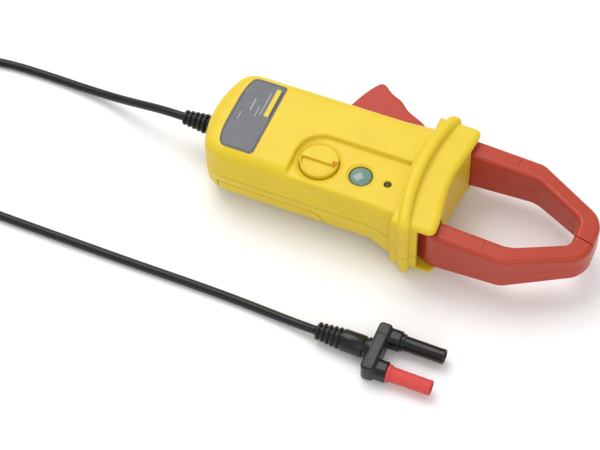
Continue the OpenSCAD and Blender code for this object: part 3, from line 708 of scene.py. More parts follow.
@dataclass
class OutputCord:
    """The free cord from the tail to the twin plug, with its spare length in a tied coil."""

    diameter: float = 4.6
    length: float = 1.54
    centre: Spot = middle("cord_coil")[:2]
    ring: float = 25.0
    floor_z: float = 3.0
    out_route: list[Point] = field(default_factory=lambda: [
        (-133, 0, 21.5), (-145, 0.9, 20.2), (-158, 3.2, 15.6), (-172, 6.2, 9.8), (-187, 8.8, 5.2),
        (-205, 10.4, 2.8), (-226, 11, 2.4), (-246, 10.6, 2.4), (-262, 8.4, 2.4), (-277, 1.6, 2.4),
        (-289, -11, 2.4), (-296, -28, 2.6), (-297.6, -44, 3)])
    back_route: list[Point] = field(default_factory=lambda: [
        (-248, -80.6, 3.4), (-232, -82, 2.5), (-214, -83, 2.4), (-195, -83.4, 2.4), (-175, -83.6, 2.4),
        (-150, -83.8, 2.4), (-124, -84, 2.4), (-98, -83.9, 2.4), (-74, -84, 2.4), (-52, -84.8, 2.5),
        (-35, -86, 3.3), (-20, -87.4, 5.6)])
    moves: list[tuple[float, int, int]] = field(default_factory=lambda: [
        (0.0, 0, 0), (1.0, -1, 0), (1.85, -1, 1), (2.85, -1, 2), (3.7, 0, 2), (4.55, 0, 1),
        (5.4, 1, 2), (6.25, 1, 1), (7.1, 1, 0)])
    turns: float = 7.3
    steps: int = 36
    cross: float = 0.3

    def coil(self, start: float, turns: float) -> list[Vector]:
        """Winds the spare length.

        Args:
            start: angle where the cord joins the coil, in degrees.
            turns: number of turns.

        Returns:
            The points of the turns, in millimetres.
        """
        out = []
        steps = int(turns * self.steps)
        for k in range(1, steps):
            t = turns * k / steps
            column, level = 1.0, 0.0
            for begin, to_column, to_level in self.moves:
                s = float(ramp(np.array(t), begin, begin + self.cross))
                column += (to_column - column) * s
                level += (to_level - level) * s
            a = math.radians(start + 360 * t)
            r = self.ring + column * self.diameter
            height = self.floor_z + level * self.diameter
            out.append(Vector((self.centre[0] + r * math.cos(a), self.centre[1] + r * math.sin(a), height)))
        return out

    def smooth(self, points: list[Vector], parts: int = 3) -> list[Vector]:
        """Passes a curve through the points."""
        out = []
        for i in range(len(points) - 1):
            a, b = points[max(i - 1, 0)], points[i]
            c, d = points[i + 1], points[min(i + 2, len(points) - 1)]
            for k in range(parts):
                t = k / parts
                out.append(0.5 * (2 * b + (c - a) * t + (2 * a - 5 * b + 4 * c - d) * t * t
                                  + (3 * b - a - 3 * c + d) * t ** 3))
        return out + [points[-1]]

    def relax(self, path: list[Vector], rounds: int = 4) -> list[Vector]:
        """Takes small kinks out of a path and leaves its ends."""
        for _ in range(rounds):
            path = [path[0], *((a + 2 * b + c) / 4 for a, b, c in zip(path, path[1:], path[2:])), path[-1]]
        return path

    def make(self) -> None:
        """Makes the cord and keeps its path, in metres."""
        out = self.smooth([Vector(p) for p in self.out_route])
        back = self.smooth([Vector(p) for p in self.back_route])
        first = out[-1] - Vector((*self.centre, 0.0))
        start = math.degrees(math.atan2(first.y, first.x))
        wound = self.coil(start, self.turns)
        self.path = self.relax([p * MM for p in [*out, *wound, *back]])
        far = sum((b - a).length for a, b in zip(self.path, self.path[1:]))
        LOG.info("cord: %.3f m, %d points", far, len(self.path))
        self.piece = settle(sweep("output_cord", self.path, self.diameter / 2 * MM), RUBBER,
                            "housing", "cord_out", "cord_out", "cord_coil", "cord_back")


# ---- housing -------------------------------------------------------------------------------


@dataclass
class Housing:
    """The two shells, the battery door and the label, with the posts and holes for their screws."""

    tail_x: float = HOUSING_LOW[0]
    tail_r: float = 58.0
    half_width: float = 30.5
    low_z: float = 6.0
    high_z: float = 42.5
    edge_r: float = 7.0
    lean: float = 1.9
    flare: float = 2.6
    wall: float = 2.5
    panel_z: float = 39.7
    seam_z: float = 24.0
    seam_gap: float = 0.17
    bow_r: float = 125.0
    flange_half: float = HOUSING_HIGH[1]
    flange_top: float = HOUSING_HIGH[2]
    flange_r: float = 9.5
    bead_half: float = 3.1
    crown_r: float = 182.0
    step: float = 4.3
    tail_edge: float = 8.0
    spread_x: Spot = (-19.0, -1.0)
    spread_z: Spot = (30.0, 41.0)
    panel: Point = (-61.2, 1.8, 13.0)
    panel_slope: float = 0.35
    hood_x: float = HOUSING_HIGH[0]
    hood_side: Spot = (36.1, 0.024)
    hood_front: Spot = (18.4, 3.4)
    exit_at: Spot = (12.8, 21.3)
    exit_z: Spot = (8.7, 40.1)
    slot_x: Spot = (-56.0, -5.0)
    slot_y: float = 24.0
    slot_z: Spot = (15.0, 30.2)
    cord_hole: float = 5.25
    casing: tuple[Spot, ...] = ((-105, 15), (-105, -15), (-17.5, -22), (-20, 4))
    board: tuple[Spot, ...] = ((-30, 10), (-60, -21))
    pivots: tuple[Spot, ...] = PIVOTS
    door_screw: Spot = middle("door_screw")[:2]
    door_top: float = 17.5
    under_z: float = 36.0
    pin_hole: float = 2.05
    cell: float = 0.56

    def ahead(self, x: Array, y: Array) -> Array:
        """Distance in front of the bowed middle of the flange."""
        return self.bow_r - np.hypot(x - self.bow_r, y)

    def body(self, x: Array, y: Array, z: Array) -> Array:
        """The handle: rounded, leaning in from its seam, with a bowed tail and a sunk panel."""
        mid, half = (self.low_z + self.high_z) / 2, (self.high_z - self.low_z) / 2
        spread = ramp(x, *self.spread_x)
        rise = np.minimum(np.abs(z - self.seam_z) / half, 1.0)
        low = 1 - 0.8 * ramp(z, *self.spread_z)
        side = np.abs(y) + self.lean * (1 - (1 - rise) ** 2) * (1 - spread * low) - self.flare * spread * low
        section = rounded_rect(side, z - mid, self.half_width, half, self.edge_r)
        hub = self.tail_x + self.tail_r
        tail = np.where(x < hub, np.hypot(x - hub, y), np.abs(y)) - self.tail_r
        body = np.maximum(edge(section, tail, self.tail_edge), x - 5.0)
        panel_x, panel_y, panel_r = self.panel
        sunk = edge(panel_x - x, y - panel_y, panel_r) - self.panel_slope * (z - self.panel_z)
        return cut(body, edge(sunk, self.panel_z - z, 0.8), 1.0)

    def flange(self, x: Array, y: Array, z: Array) -> Array:
        """The finger barrier: one rounded bead, bowed in plan and over its top."""
        half = self.flange_top / 2
        crown = np.hypot(y, z + self.crown_r) - self.crown_r - self.flange_top
        face = edge(rounded_rect(y, z - half, self.flange_half, half, self.flange_r), crown, 2.0)
        ahead = self.ahead(x, y)
        bead = edge(face, np.abs(ahead - 0.9) - self.bead_half, 2.9)
        step = edge(face + self.step, slab(ahead, -3.7, 1.0), 0.9)
        return join(bead, step, 0.5)

    def hood(self, x: Array, y: Array, z: Array) -> Array:
        """The cover over the roots of the jaws, hollowed towards the jaw window."""
        mid, half = (self.low_z + self.high_z) / 2, (self.high_z - self.low_z) / 2
        side = np.abs(y) - (self.hood_side[0] - self.hood_side[1] * x)
        front = (x - self.hood_front[0] - self.hood_front[1] * ramp(np.abs(y), 2.0, 31.0)) * 0.97
        return np.maximum(edge(edge(side, front, 3.6), np.abs(z - mid) - half, 3.2), -1.0 - x)

    def holes(self, x: Array, y: Array, z: Array) -> Array:
        """What the jaws, the trigger and the cord pass through."""
        exits = meet(self.exit_at[0] - x, self.exit_at[1] - np.abs(y), slab(z, *self.exit_z))
        slot = meet(slab(x, *self.slot_x), self.slot_y - y, slab(z, *self.slot_z))
        cord = np.maximum(np.hypot(y, z - CORD_Z) - self.cord_hole, x + 104.0)
        return np.minimum(np.minimum(exits, slot), cord)

    def shell(self, x: Array, y: Array, z: Array) -> Array:
        """Both shells together, as one wall."""
        outer = join(self.body(x, y, z), self.flange(x, y, z), 1.0)
        outer = join(outer, self.hood(x, y, z), 0.8)
        return cut(np.maximum(outer, -(outer + self.wall)), self.holes(x, y, z), 0.5)

    def seam(self, x: Array, y: Array, z: Array) -> Array:
        """Height above the seam, which drops where it meets the flange."""
        return z - (self.seam_z - 6.0 * ramp(self.ahead(x, y), -4.2, -2.6))

    def posts(self, x: Array, y: Array, z: Array, places: Sequence[Spot], r: float,
              low: float, high: float) -> Array:
        """Round posts of one radius between two heights."""
        near = np.full(np.broadcast(x, y).shape, FAR_AWAY)
        for px, py in places:
            near = np.minimum(near, np.hypot(x - px, y - py))
        return np.maximum(near - r, slab(z, low, high))

    def label_plan(self, x: Array, y: Array, grow: float = 0.0) -> Array:
        """Outline of the label."""
        arc = np.hypot(x - self.tail_x - self.tail_r, y) - 49.5
        return edge(edge(arc, np.abs(y) - 23.4, 2.0), slab(x, -103.0, -81.7), 2.0) - grow

    def top(self, x: Array, y: Array, z: Array) -> Array:
        """The upper shell."""
        half = edge(self.shell(x, y, z), self.seam_gap - self.seam(x, y, z), 0.5)
        high = self.high_z - self.wall
        under = self.panel_z - self.wall
        posts = ((self.casing[:2], 3.4, self.seam_z, high), (self.casing[2:], 3.4, self.seam_z, under),
                 (self.board, 2.6, 32.7, under), (self.pivots, 5.0, high - 2.4, high))
        for places, r, foot, head in posts:
            half = np.minimum(half, self.posts(x, y, z, places, r, foot, head + 0.5))
        knob, button, lamp = (np.hypot(x - at[0], y - at[1]) for at in (KNOB_AT, BUTTON_AT, LAMP_AT))
        dish = (knob - 13.1 + 2.17 * (self.panel_z - z)) / 2.39
        label = self.label_plan(x, y, 0.15)
        sunk = ((np.maximum(dish, knob - 13.2), self.under_z, 0.5), (knob - 10.42, self.under_z, 0.2),
                (button - 7.5 + (self.panel_z - z), self.panel_z - 0.6, 0.3),
                (button - 6.3, self.under_z, 0.25), (lamp - 2.1, self.under_z, 0.3),
                (label, self.high_z - 0.6, 0.12))
        for plan, foot, rim in sunk:
            half = cut(half, np.maximum(plan, foot - z), rim)
        for places, r, foot, head in ((self.casing, 1.5, 20.0, self.seam_z + 8.0), (self.board, 1.1, 31.0, 37.0),
                                      (self.pivots, self.pin_hole, 30.0, high)):
            half = np.maximum(half, -self.posts(x, y, z, places, r, foot, head))
        return half

    def door_side(self, x: Array, z: Array) -> Array:
        """Distance to the part of the lower shell that the battery door takes."""
        slant = (6.0 * (x + 44.5) + 3.5 * (z - self.door_top)) / 6.946
        return meet(z - self.door_top, -100.6 - x, slant, x + 41.0)

    def bottom(self, x: Array, y: Array, z: Array) -> Array:
        """The lower shell."""
        half = edge(self.shell(x, y, z), self.seam(x, y, z) + self.seam_gap, 0.5)
        half = cut(half, self.door_side(x, z) - 0.22, 0.5)
        low = self.low_z + self.wall
        bracket = rounded_rect(x + 103.3, y + 10.2, 8.9, 3.4, 0.5)
        bracket = meet(bracket, slab(z, 17.8, self.seam_z - 0.15), self.tail_x + 1.0 - x,
                       self.body(x, y, z) + 1.0)
        half = np.minimum(half, bracket)
        for places, r, head in ((self.casing, 3.4, self.seam_z - 0.15), (self.pivots, 5.0, low + 3.1)):
            half = np.minimum(half, self.posts(x, y, z, places, r, low - 0.5, head))
        half = cut(half, self.posts(x, y, z, self.casing, 2.8, -1.0, low), 0.3)
        for places, r, foot, head in ((self.casing, 1.7, -1.0, 30.0), (self.pivots, self.pin_hole, low, low + 4.0),
                                      ([self.door_screw], 1.9, 17.0, 22.5)):
            half = np.maximum(half, -self.posts(x, y, z, places, r, foot, head))
        return half

    def door(self, x: Array, y: Array, z: Array) -> Array:
        """The battery door: the floor and both lower side walls of the handle."""
        door = edge(self.shell(x, y, z), self.door_side(x, z) + 0.22, 0.5)
        door = cut(door, self.posts(x, y, z, [self.door_screw], 3.65, -1.0, self.low_z + 1.6), 0.3)
        return np.maximum(door, -self.posts(x, y, z, [self.door_screw], 1.55, -1.0, 10.0))

    def label(self, x: Array, y: Array, z: Array) -> Array:
        """The label plate, with a fine groove near its edge."""
        plan = self.label_plan(x, y)
        plate = edge(plan, slab(z, self.high_z - 0.6, self.high_z - 0.1), 0.18)
        groove = np.maximum(np.abs(plan + 0.9) - 0.2, self.high_z - 0.22 - z)
        return cut(plate, groove, 0.06)

    def border(self, x: Array, y: Array, z: Array) -> Array:
        """The dark line in the label's groove."""
        line = np.abs(self.label_plan(x, y) + 0.9) - 0.19
        return np.maximum(line, slab(z, self.high_z - 0.3, self.high_z - 0.16))

    def printed(self, x: Array, y: Array, z: Array,
                bars: Sequence[tuple[float, float, float, float]]) -> Array:
        """Flat bars on the label, each given by its middle and its half width and half length."""
        plan = np.full(np.broadcast(x, y).shape, FAR_AWAY)
        for px, py, half_x, half_y in bars:
            plan = np.minimum(plan, rounded_rect(x - px, y - py, half_x, half_y, 0.18))
        return np.maximum(plan, slab(z, self.high_z - 0.2, self.high_z - 0.05))

    def make(self) -> None:
        """Moulds and dresses the shells."""
        x0, x1, w = self.tail_x - 1.0, self.hood_x + 1.5, self.flange_half + 1.0
        plate = ((-104.0, -24.5), (-80.5, 24.5))
        for name, shape, ends, span, cell, keep in (
                ("top_shell", self.top, ((x0, -w), (x1, w)), (17.0, 49.0), self.cell, 0.62),
                ("bottom_shell", self.bottom, ((x0, -w), (x1, w)), (-1.0, 25.0), self.cell, 0.62),
                ("battery_door", self.door, ((-102.0, -32.0), (-40.0, 32.0)), (5.0, 18.5), self.cell, 0.7),
                ("label_plate", self.label, plate, (41.5, 42.8), 0.2, 0.25)):
            piece = Mould((*ends[0], span[0]), (*ends[1], span[1]), cell).pour(name, shape, keep)
            settle(piece, GREY_LABEL if name == "label_plate" else YELLOW,
                   "battery_door" if name == "battery_door" else "housing", name, name)
        line = Mould((*plate[0], 42.0), (*plate[1], 42.5), 0.14).pour("label_border", self.border, 0.3)
        settle(line, DARK_LINE, "housing", "label_plate")
        for name, bars, finish in (
                ("label_badge", ((-85.2, 10.9, 1.25, 9.3),), YELLOW),
                ("label_band", ((-83.3, 10.9, 0.45, 9.3),), DARK_LINE),
                ("label_lines", ((-88.4, 9.0, 0.22, 8.0), (-90.6, 3.0, 0.22, 3.6),
                                 (-94.4, 6.5, 0.3, 4.2), (-98.2, -2.5, 0.22, 2.6)), PALE_PRINT)):
            flat = Mould((-100.0, -6.0, 42.2), (-82.0, 21.0, 42.6), 0.12).pour(
                name, lambda x, y, z, b=bars: self.printed(x, y, z, b), 0.25)
            settle(flat, finish, "housing", "label_plate")


# ---- jaws ----------------------------------------------------------------------------------


class Side(Enum):
    """Which jaw: the far one carries the trigger."""

    FAR = 1
    NEAR = -1


@dataclass
class Jaw:
    """One jaw, moulded in an upper and a lower half round its core."""

    side: Side
    half_out: float = 33.0
    half_in: float = 22.0
    bend_x: float = 57.0
    tip_x: float = 95.0
    inner_x: float = 84.0
    middle_z: float = JAW_Z
    root_half: float = 13.5
    tip_half: float = 8.5
    taper_x: float = 22.0
    core_x: float = 24.0
    wall: float = 2.2
    bush_r: float = 3.2
    corner: float = 2.6
    gap: float = 0.4
    gap_at: Spot = (82.0, -1.4)
    gap_angle: float = -12.0
    bend: float = 27.7
    pivot: Spot = PIVOTS[0]
    screws: tuple[Spot, ...] = ((15, 26), (19.5, 28.5))
    cell: float = 0.46

    def outline(self, x: Array, y: Array, half: float, reach: float, soft: float, blunt: float) -> Array:
        """Straight arms that bend in to a blunt end, rounded by soft at the bend and blunt at the end."""
        t = math.radians(self.bend)
        aside = np.abs(y) - half
        slant = (x - self.bend_x) * math.sin(t) + aside * math.cos(t)
        return edge(edge(aside, slant, soft), x - reach, blunt)

    def ring(self, x: Array, y: Array) -> Array:
        """The closed ring of both jaws, in plan."""
        outer = self.outline(x, y, self.half_out, self.tip_x, 1.6, 7.0)
        inner = self.outline(x, y, self.half_in, self.inner_x, 1.4, 2.6)
        return np.maximum(outer, -inner)

    def gap_side(self, x: Array, y: Array) -> Array:
        """Distance to this jaw's side of the slanted line where the tips meet."""
        t = math.radians(self.gap_angle)
        across = (y - self.gap_at[1]) * math.cos(t) - (x - self.gap_at[0]) * math.sin(t)
        return -self.side.value * across

    def half(self, x: Array, y: Array, z: Array, upper: bool) -> Array:
        """One half of the jaw."""
        side = self.side.value
        v = np.abs(z - self.middle_z)
        taper = (self.root_half - self.tip_half) / (self.tip_x + 1 - self.taper_x)
        thick = self.root_half - taper * np.maximum(x - self.taper_x, 0.0)
        trim = side * y - np.interp(x, [11, 12, 14, 17, 20, 24], [29.5, 29.6, 30.4, 32.2, 33.1, 36])
        plan = edge(self.ring(x, y), trim, 0.6)
        arm = edge(plan, v - thick, self.corner)
        arm = edge(arm, self.gap_side(x, y) + self.gap / 2, 0.5)
        arm = edge(arm, 11.0 - x, 0.6)
        axle = np.hypot(x - self.pivot[0], side * y - self.pivot[1])
        link = polygon(x, side * y, [(0, 12.4), (11.4, 22.4), (11.4, 29.4), (0, 27.6)])
        hub = edge(join(axle - 8.0, link, 1.0), slab(v, 3.4, 10.6), 0.4)
        arm = join(arm, hub, 0.6)
        hollow = meet(self.ring(x, y) + self.wall, self.core_x - x, v - (self.tip_half - self.wall),
                      self.gap_side(x, y) + 1.4)
        arm = meet(arm, -hollow, self.bush_r - axle)
        parted = (self.middle_z + 0.03 - z) if upper else (z - self.middle_z + 0.03)
        arm = edge(arm, parted, 0.28)
        if upper:
            mark = rounded_rect(x - 45.0, side * y - 27.5, 0.35, 2.3, 0.3)
            return cut(arm, np.maximum(mark, thick - 0.45 - v), 0.12)
        for px, py in self.screws:
            bore = np.hypot(x - px, side * y - py)
            arm = cut(arm, np.maximum(bore - 2.0, z - self.middle_z + 9.0), 0.25)
        return arm

    def make(self) -> None:
        """Moulds and dresses the two halves."""
        name = self.side.name.lower()
        low_y, high_y = (-6.0, 34.0) if self.side is Side.FAR else (-34.0, 1.0)
        for word, upper, low, high in (("upper", True, 22.0, 37.0), ("lower", False, 8.0, 23.2)):
            piece = Mould((-7.0, low_y, low), (96.0, high_y, high), self.cell).pour(
                f"{name}_jaw_{word}", lambda x, y, z, u=upper: self.half(x, y, z, u), 0.8)
            settle(piece, RED, f"{name}_jaw", f"{name}_jaw_{word}", f"{name}_jaw_{word}")


@dataclass
class Trigger:
    """The curved lever that opens the jaws."""

    outline: tuple[Spot, ...] = (
        (-53, 29), (-50.4, 37.9), (-46.9, 46.6), (-43.6, 52.4), (-41.4, 54.8), (-38.8, 54.6),
        (-36, 52.2), (-32.8, 49.9), (-28.2, 48.1), (-25.2, 46), (-22.4, 43), (-18.6, 41.1),
        (-12.5, 38.4), (-9, 36.2), (-9, 27), (-30, 24.6), (-50.5, 26))
    middle_z: float = JAW_Z
    half: float = 7.0
    corner: float = 1.6
    cell: float = 0.42

    def shape(self, x: Array, y: Array, z: Array) -> Array:
        """The fin, with rounded edges."""
        plan = polygon(x, y, softened(self.outline, 2))
        return edge(plan, np.abs(z - self.middle_z) - self.half, self.corner)

    def make(self) -> None:
        """Moulds and dresses the fin."""
        fin = Mould((-54.5, 23.5, 15.0), (-8.0, 56.0, 30.2), self.cell).pour("trigger", self.shape)
        settle(fin, TRIGGER_RED, "far_jaw", "trigger", "trigger")


# ---- controls ------------------------------------------------------------------------------


@dataclass
class Controls:
    """The zero knob, its mark and the power button."""

    knob_at: Spot = KNOB_AT
    knob_r: float = 10.1
    knob_low: float = 37.6
    knob_top: float = 41.1
    button_at: Spot = BUTTON_AT
    button_r: float = 6.0
    button_top: float = 40.5
    lip_z: float = 36.0
    wire_r: float = 0.3
    travel: float = 1.2

    def knob(self, x: Array, y: Array, z: Array) -> Array:
        """The knob: a disc whose near half is scooped out beside a finger bar."""
        u, v = x - self.knob_at[0], y - self.knob_at[1]
        r = np.hypot(u, v)
        disc = edge(r - self.knob_r, slab(z, self.knob_low, self.knob_top), 0.7)
        scoop = np.maximum(edge(r - self.knob_r + 0.85, v - 0.2, 0.5), self.knob_top - 1.7 - z)
        disc = cut(disc, scoop, 0.3)
        seat = rounded_rect(u - self.knob_r + 1.8, v - 1.2, 1.45, 1.05, 0.3)
        disc = cut(disc, np.maximum(seat, self.knob_top - 0.35 - z), 0.08)
        hub = np.maximum(r - 3.5, slab(z, 36.0, self.knob_low + 0.5))
        bore = np.maximum(r - 1.5, z - self.knob_top + 4.8)
        return np.maximum(np.minimum(disc, hub), -bore)

    def mark(self, x: Array, y: Array, z: Array) -> Array:
        """The pointer let into the knob."""
        u, v = x - self.knob_at[0], y - self.knob_at[1]
        plan = rounded_rect(u - self.knob_r + 1.8, v - 1.2, 1.3, 0.9, 0.25)
        return edge(plan, slab(z, self.knob_top - 0.4, self.knob_top - 0.05), 0.1)

    def button(self, x: Array, y: Array, z: Array) -> Array:
        """The domed button with the lip that holds it in."""
        u, v = x - self.button_at[0], y - self.button_at[1]
        r = np.hypot(u, v)
        dome = np.hypot(r, z - self.button_top + 10.5) - 10.5
        stem = edge(edge(r - self.button_r, dome, 0.9), self.lip_z - z, 0.3)
        lip = edge(r - self.button_r - 1.2, slab(z, self.lip_z, self.lip_z + 0.9), 0.2)
        pocket = meet(r - 5.0, 1.5 - r, z - self.lip_z - 2.0)
        return np.maximum(np.minimum(stem, lip), -pocket)

    def spring(self) -> None:
        """Winds the button's spring, which rides on the button."""
        x, y = self.button_at
        low, high, coil, turns, steps = 33.0, 37.6, 4.5, 3, 120
        path = []
        for k in range(steps + 1):
            a = math.radians(360 * turns * k / steps)
            height = low + (high - low) * k / steps
            path.append(Vector((x + coil * math.cos(a), y + coil * math.sin(a), height)) * MM)
        spring = sweep("button_spring", path, self.wire_r * MM, 10)
        settle(spring, STEEL, "power_button", "button_spring", "button_spring")
        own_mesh(spring)

    def make(self) -> None:
        """Moulds and dresses the controls."""
        self.spring()
        for name, body, shape, at, low, high, cell, finish in (
                ("zero_knob", "zero_knob", self.knob, self.knob_at, (-11, -11, 35.5), (11, 11, 41.8), 0.2, YELLOW),
                ("knob_pointer", "zero_knob", self.mark, self.knob_at, (6, -1.5, 40.4), (10.5, 3.5, 41.4), 0.08,
                 ORANGE),
                ("power_button", "power_button", self.button, self.button_at, (-8, -8, 35.5), (8, 8, 41.0), 0.18,
                 BUTTON_GREEN)):
            corners = [(at[0] + x, at[1] + y, z) for x, y, z in (low, high)]
            settle(Mould(*corners, cell).pour(name, shape, 0.6), finish, body, name, name)


# ---- reliefs and plug ----------------------------------------------------------------------


@dataclass
class Ribs:
    """Rings of one section that follow each other along X and grow, made by Geometry Nodes."""

    name: str
    count: int
    first: Point
    pitch: float
    start_r: float
    end_r: float
    width: float
    finish: Finish
    sides: int = 64

    def tree(self) -> bpy.types.NodeTree:
        """Builds the node tree, with its sizes as named inputs."""
        tree = bpy.data.node_groups.new(f"{self.name}_tree", "GeometryNodeTree")
        tree.interface.new_socket("Core", in_out="INPUT", socket_type="NodeSocketGeometry")
        for label, kind in (("Count", "Int"), ("Start", "Vector"), ("Pitch", "Float"), ("First radius", "Float"),
                            ("Last radius", "Float"), ("Width", "Float"), ("Finish", "Material")):
            tree.interface.new_socket(label, in_out="INPUT", socket_type=f"NodeSocket{kind}")
        tree.interface.new_socket("Result", in_out="OUTPUT", socket_type="NodeSocketGeometry")
        source = tree.nodes.new("NodeGroupInput").outputs

        def add(kind: str, **feeds: Feed) -> bpy.types.Node:
            """Adds a node to this tree."""
            return wire(tree, kind, **feeds)

        def calc(operation: str, *terms: Feed) -> bpy.types.NodeSocket:
            """Adds one step of arithmetic."""
            node = add("ShaderNodeMath")
            node.operation = operation
            for socket, term in zip(node.inputs, terms):
                feed(tree, socket, term)
            return node.outputs["Value"]

        width, last = source["Width"], source["Last radius"]
        step = add("ShaderNodeCombineXYZ", X=source["Pitch"])
        line = add("GeometryNodeMeshLine", Count=source["Count"], Start_Location=source["Start"],
                   Offset=step.outputs["Vector"])
        index = add("GeometryNodeInputIndex").outputs["Index"]
        share = calc("DIVIDE", index, calc("SUBTRACT", source["Count"], 1.0))
        size = add("ShaderNodeMapRange", Value=share, To_Min=source["First radius"], To_Max=last)
        unit = calc("DIVIDE", size.outputs["Result"], last)
        scale = add("ShaderNodeCombineXYZ", X=1.0, Y=unit, Z=unit)
        circle = add("GeometryNodeCurvePrimitiveCircle", Resolution=self.sides,
                     Radius=calc("SUBTRACT", last, calc("MULTIPLY", width, 0.5)))
        turn = add("GeometryNodeTransform", Geometry=circle.outputs["Curve"], Rotation=(0.0, math.pi / 2, 0.0))
        block = add("GeometryNodeCurvePrimitiveQuadrilateral", Width=width, Height=width)
        fillet = add("GeometryNodeFilletCurve", Curve=block.outputs["Curve"],
                     Radius=calc("MULTIPLY", width, 0.36))
        fillet.mode = "POLY"
        fillet.inputs["Count"].default_value = 4
        ring = add("GeometryNodeCurveToMesh", Curve=turn.outputs["Geometry"],
                   Profile_Curve=fillet.outputs["Curve"])
        rings = add("GeometryNodeInstanceOnPoints", Points=line.outputs["Mesh"], Instance=ring.outputs["Mesh"],
                    Scale=scale.outputs["Vector"])
        both = add("GeometryNodeJoinGeometry", Geometry=rings.outputs["Instances"])
        tree.links.new(source["Core"], both.inputs["Geometry"])
        real = add("GeometryNodeRealizeInstances", Geometry=both.outputs["Geometry"])
        paint = add("GeometryNodeSetMaterial", Geometry=real.outputs["Geometry"], Material=source["Finish"])
        add("NodeGroupOutput", Result=paint.outputs["Geometry"])
        return tree

    def grow_on(self, core: bpy.types.Object) -> bpy.types.Object:
        """Puts the rings round a core and turns the whole into one plain mesh."""
        tree = self.tree()
        inputs = {"Count": self.count, "Start": tuple(c * MM for c in self.first),
                  "Pitch": self.pitch * MM, "First radius": self.start_r * MM,
                  "Last radius": self.end_r * MM, "Width": self.width * MM,
                  "Finish": self.finish.material()}
        keys = {item.name: item.identifier for item in tree.interface.items_tree if item.in_out == "INPUT"}
        grow = core.modifiers.new("ribs", "NODES")
        grow.node_group = tree
        for label, value in inputs.items():
            grow[keys[label]] = value
        done = bake(core)
        outward(core)
        shade(done)
        LOG.info("%s: %d rings", core.name, self.count)
        return core


@dataclass
class StrainRelief:
    """The ribbed sleeve where the cord leaves the tail."""

    tip_x: float = corners_of("strain_relief")[0][0]
    tail_x: float = HOUSING_LOW[0]
    z: float = CORD_Z

    def make(self) -> bpy.types.Object:
        """Makes the sleeve and its ribs."""
        span = self.tail_x - self.tip_x
        outline = [(0.0, 0.0), (0.0, 2.6), (0.35, 3.0), (span - 1.6, 4.2), (span - 1.55, 6.0),
                   (span - 1.1, 6.4), (span + 0.1, 6.4), (span + 0.15, 5.1), (span + 3.4, 5.1),
                   (span + 3.5, 4.9), (span + 3.5, 0.0)]
        core = lathe("strain_relief", outline, (self.tip_x, 0.0, self.z))
        ribs = Ribs("strain_ribs", 6, (self.tip_x + 1.5, 0.0, self.z), 2.85, 4.1, 5.7, 1.55, RUBBER)
        return settle(ribs.grow_on(core), RUBBER, "housing", "strain_relief", "strain_relief")


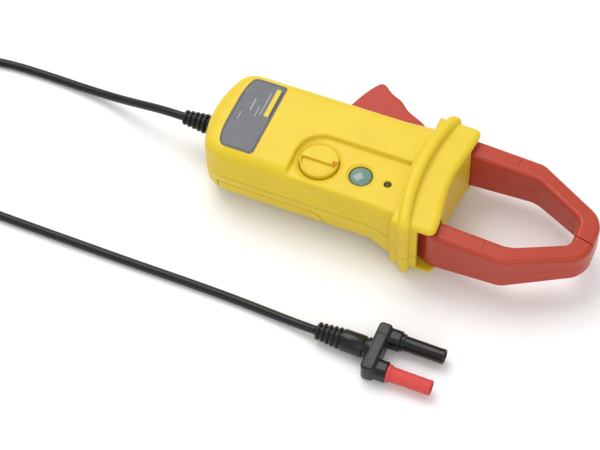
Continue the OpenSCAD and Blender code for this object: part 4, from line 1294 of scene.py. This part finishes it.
@dataclass
class TwinPlug:
    """The moulded plug with its two shrouded sleeves."""

    y: float = PLUG_Y
    z: float = PLUG_Z
    pitch: float = 19.0
    block_x: float = 9.0
    arm_x: float = 16.0
    sleeve_x: float = 22.0
    sleeve_len: float = 23.0
    sleeve_r: float = 3.9

    def block(self, x: Array, y: Array, z: Array) -> Array:
        """The cross block and its two short arms."""
        v, w = y - self.y, z - self.z
        reach = self.pitch / 2 + self.sleeve_r + 0.9
        low = slab(x, self.block_x, self.arm_x)
        block = edge(edge(low, np.abs(v) - reach, 2.0), np.abs(w) - 5.7, 1.3)
        arm = rounded_rect(np.abs(v) - self.pitch / 2, w, self.sleeve_r + 0.9, self.sleeve_r + 1.0, 3.6)
        arm = edge(arm, slab(x, self.block_x + 2, self.sleeve_x), 0.6)
        collar = edge(np.hypot(v, w) - 5.7, slab(x, self.block_x - 1.6, self.block_x + 1), 0.4)
        pad = np.maximum(rounded_rect(x - 12.5, v, 2.2, 7.5, 0.6), 5.35 - w)
        return cut(join(join(block, arm, 0.8), collar, 0.4), pad, 0.12)

    def sleeve_outline(self) -> list[Spot]:
        """Outline of an open sleeve with a ring near its root."""
        r, n = self.sleeve_r, self.sleeve_len
        return [(0.0, 0.0), (0.0, r + 0.35), (0.25, r + 0.6), (1.6, r + 0.6), (1.9, r + 0.2),
                (2.0, r), (2.6, r), (n - 2.2, r - 0.1), (n - 2.0, r), (n - 0.4, r), (n, r - 0.35), (n, r - 0.75),
                (n - 0.3, r - 0.95), (3.2, r - 0.95), (3.0, r - 1.2), (3.0, 0.0)]

    def relief(self) -> bpy.types.Object:
        """Makes the ribbed bend guard."""
        span = 14.0
        outline = [(0.0, 0.0), (0.0, 2.7), (0.4, 3.3), (span - 0.4, 4.6), (span, 4.6), (span, 0.0)]
        core = lathe("plug_relief", outline, (-20.0, self.y, self.z))
        ribs = Ribs("plug_ribs", 5, (-18.4, self.y, self.z), 2.7, 4.6, 5.6, 1.5, RUBBER)
        return settle(ribs.grow_on(core), RUBBER, "housing", "plug_relief", "plug_relief")

    def neck(self) -> bpy.types.Object:
        """Turns the smooth neck between guard and block."""
        outline = [(0.0, 0.0), (0.0, 5.0), (0.3, 5.5), (0.8, 5.7), (11.6, 5.7), (12.0, 5.5),
                   (12.2, 5.1), (12.6, 5.0), (15.2, 5.0), (15.2, 0.0)]
        neck = lathe("plug_neck", outline, (-6.0, self.y, self.z))
        return settle(neck, BLACK, "housing", "plug_neck", "plug_neck")

    def make(self) -> list[bpy.types.Object]:
        """Makes the plug, and returns its pieces."""
        block = Mould((6.5, -103.5, -0.5), (23.5, -71.0, 12.5), 0.3).pour("plug_block", self.block)
        settle(block, BLACK, "housing", "plug_block", "plug_block")
        sleeves = []
        for name, s, finish in (("black_sleeve", 1, BLACK), ("red_sleeve", -1, PLUG_RED)):
            piece = lathe(name, self.sleeve_outline(), (self.sleeve_x, self.y + s * self.pitch / 2, self.z))
            sleeves.append(settle(piece, finish, "housing", name, name))
        return [self.relief(), self.neck(), block, *sleeves]


# ---- carried-over nodes --------------------------------------------------------------------


def dress_carried() -> None:
    """Gives every CAD node that still shows its own finish."""
    for name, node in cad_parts.items():
        if name in CARRIED:
            CARRIED[name].dress(node)
            LOG.info("%s keeps its shape, with a new finish", name)


def main() -> None:
    """Builds the scene."""
    logging.basicConfig(level=logging.INFO, format="%(message)s")
    studio = Studio()
    studio.camera()
    cord = OutputCord()
    cord.make()
    studio.floor()
    studio.light()
    dress_carried()
    Housing().make()
    for side in Side:
        Jaw(side).make()
    Trigger().make()
    Controls().make()
    relief = StrainRelief().make()
    plug = TwinPlug().make()


if __name__ == "__main__":
    main()
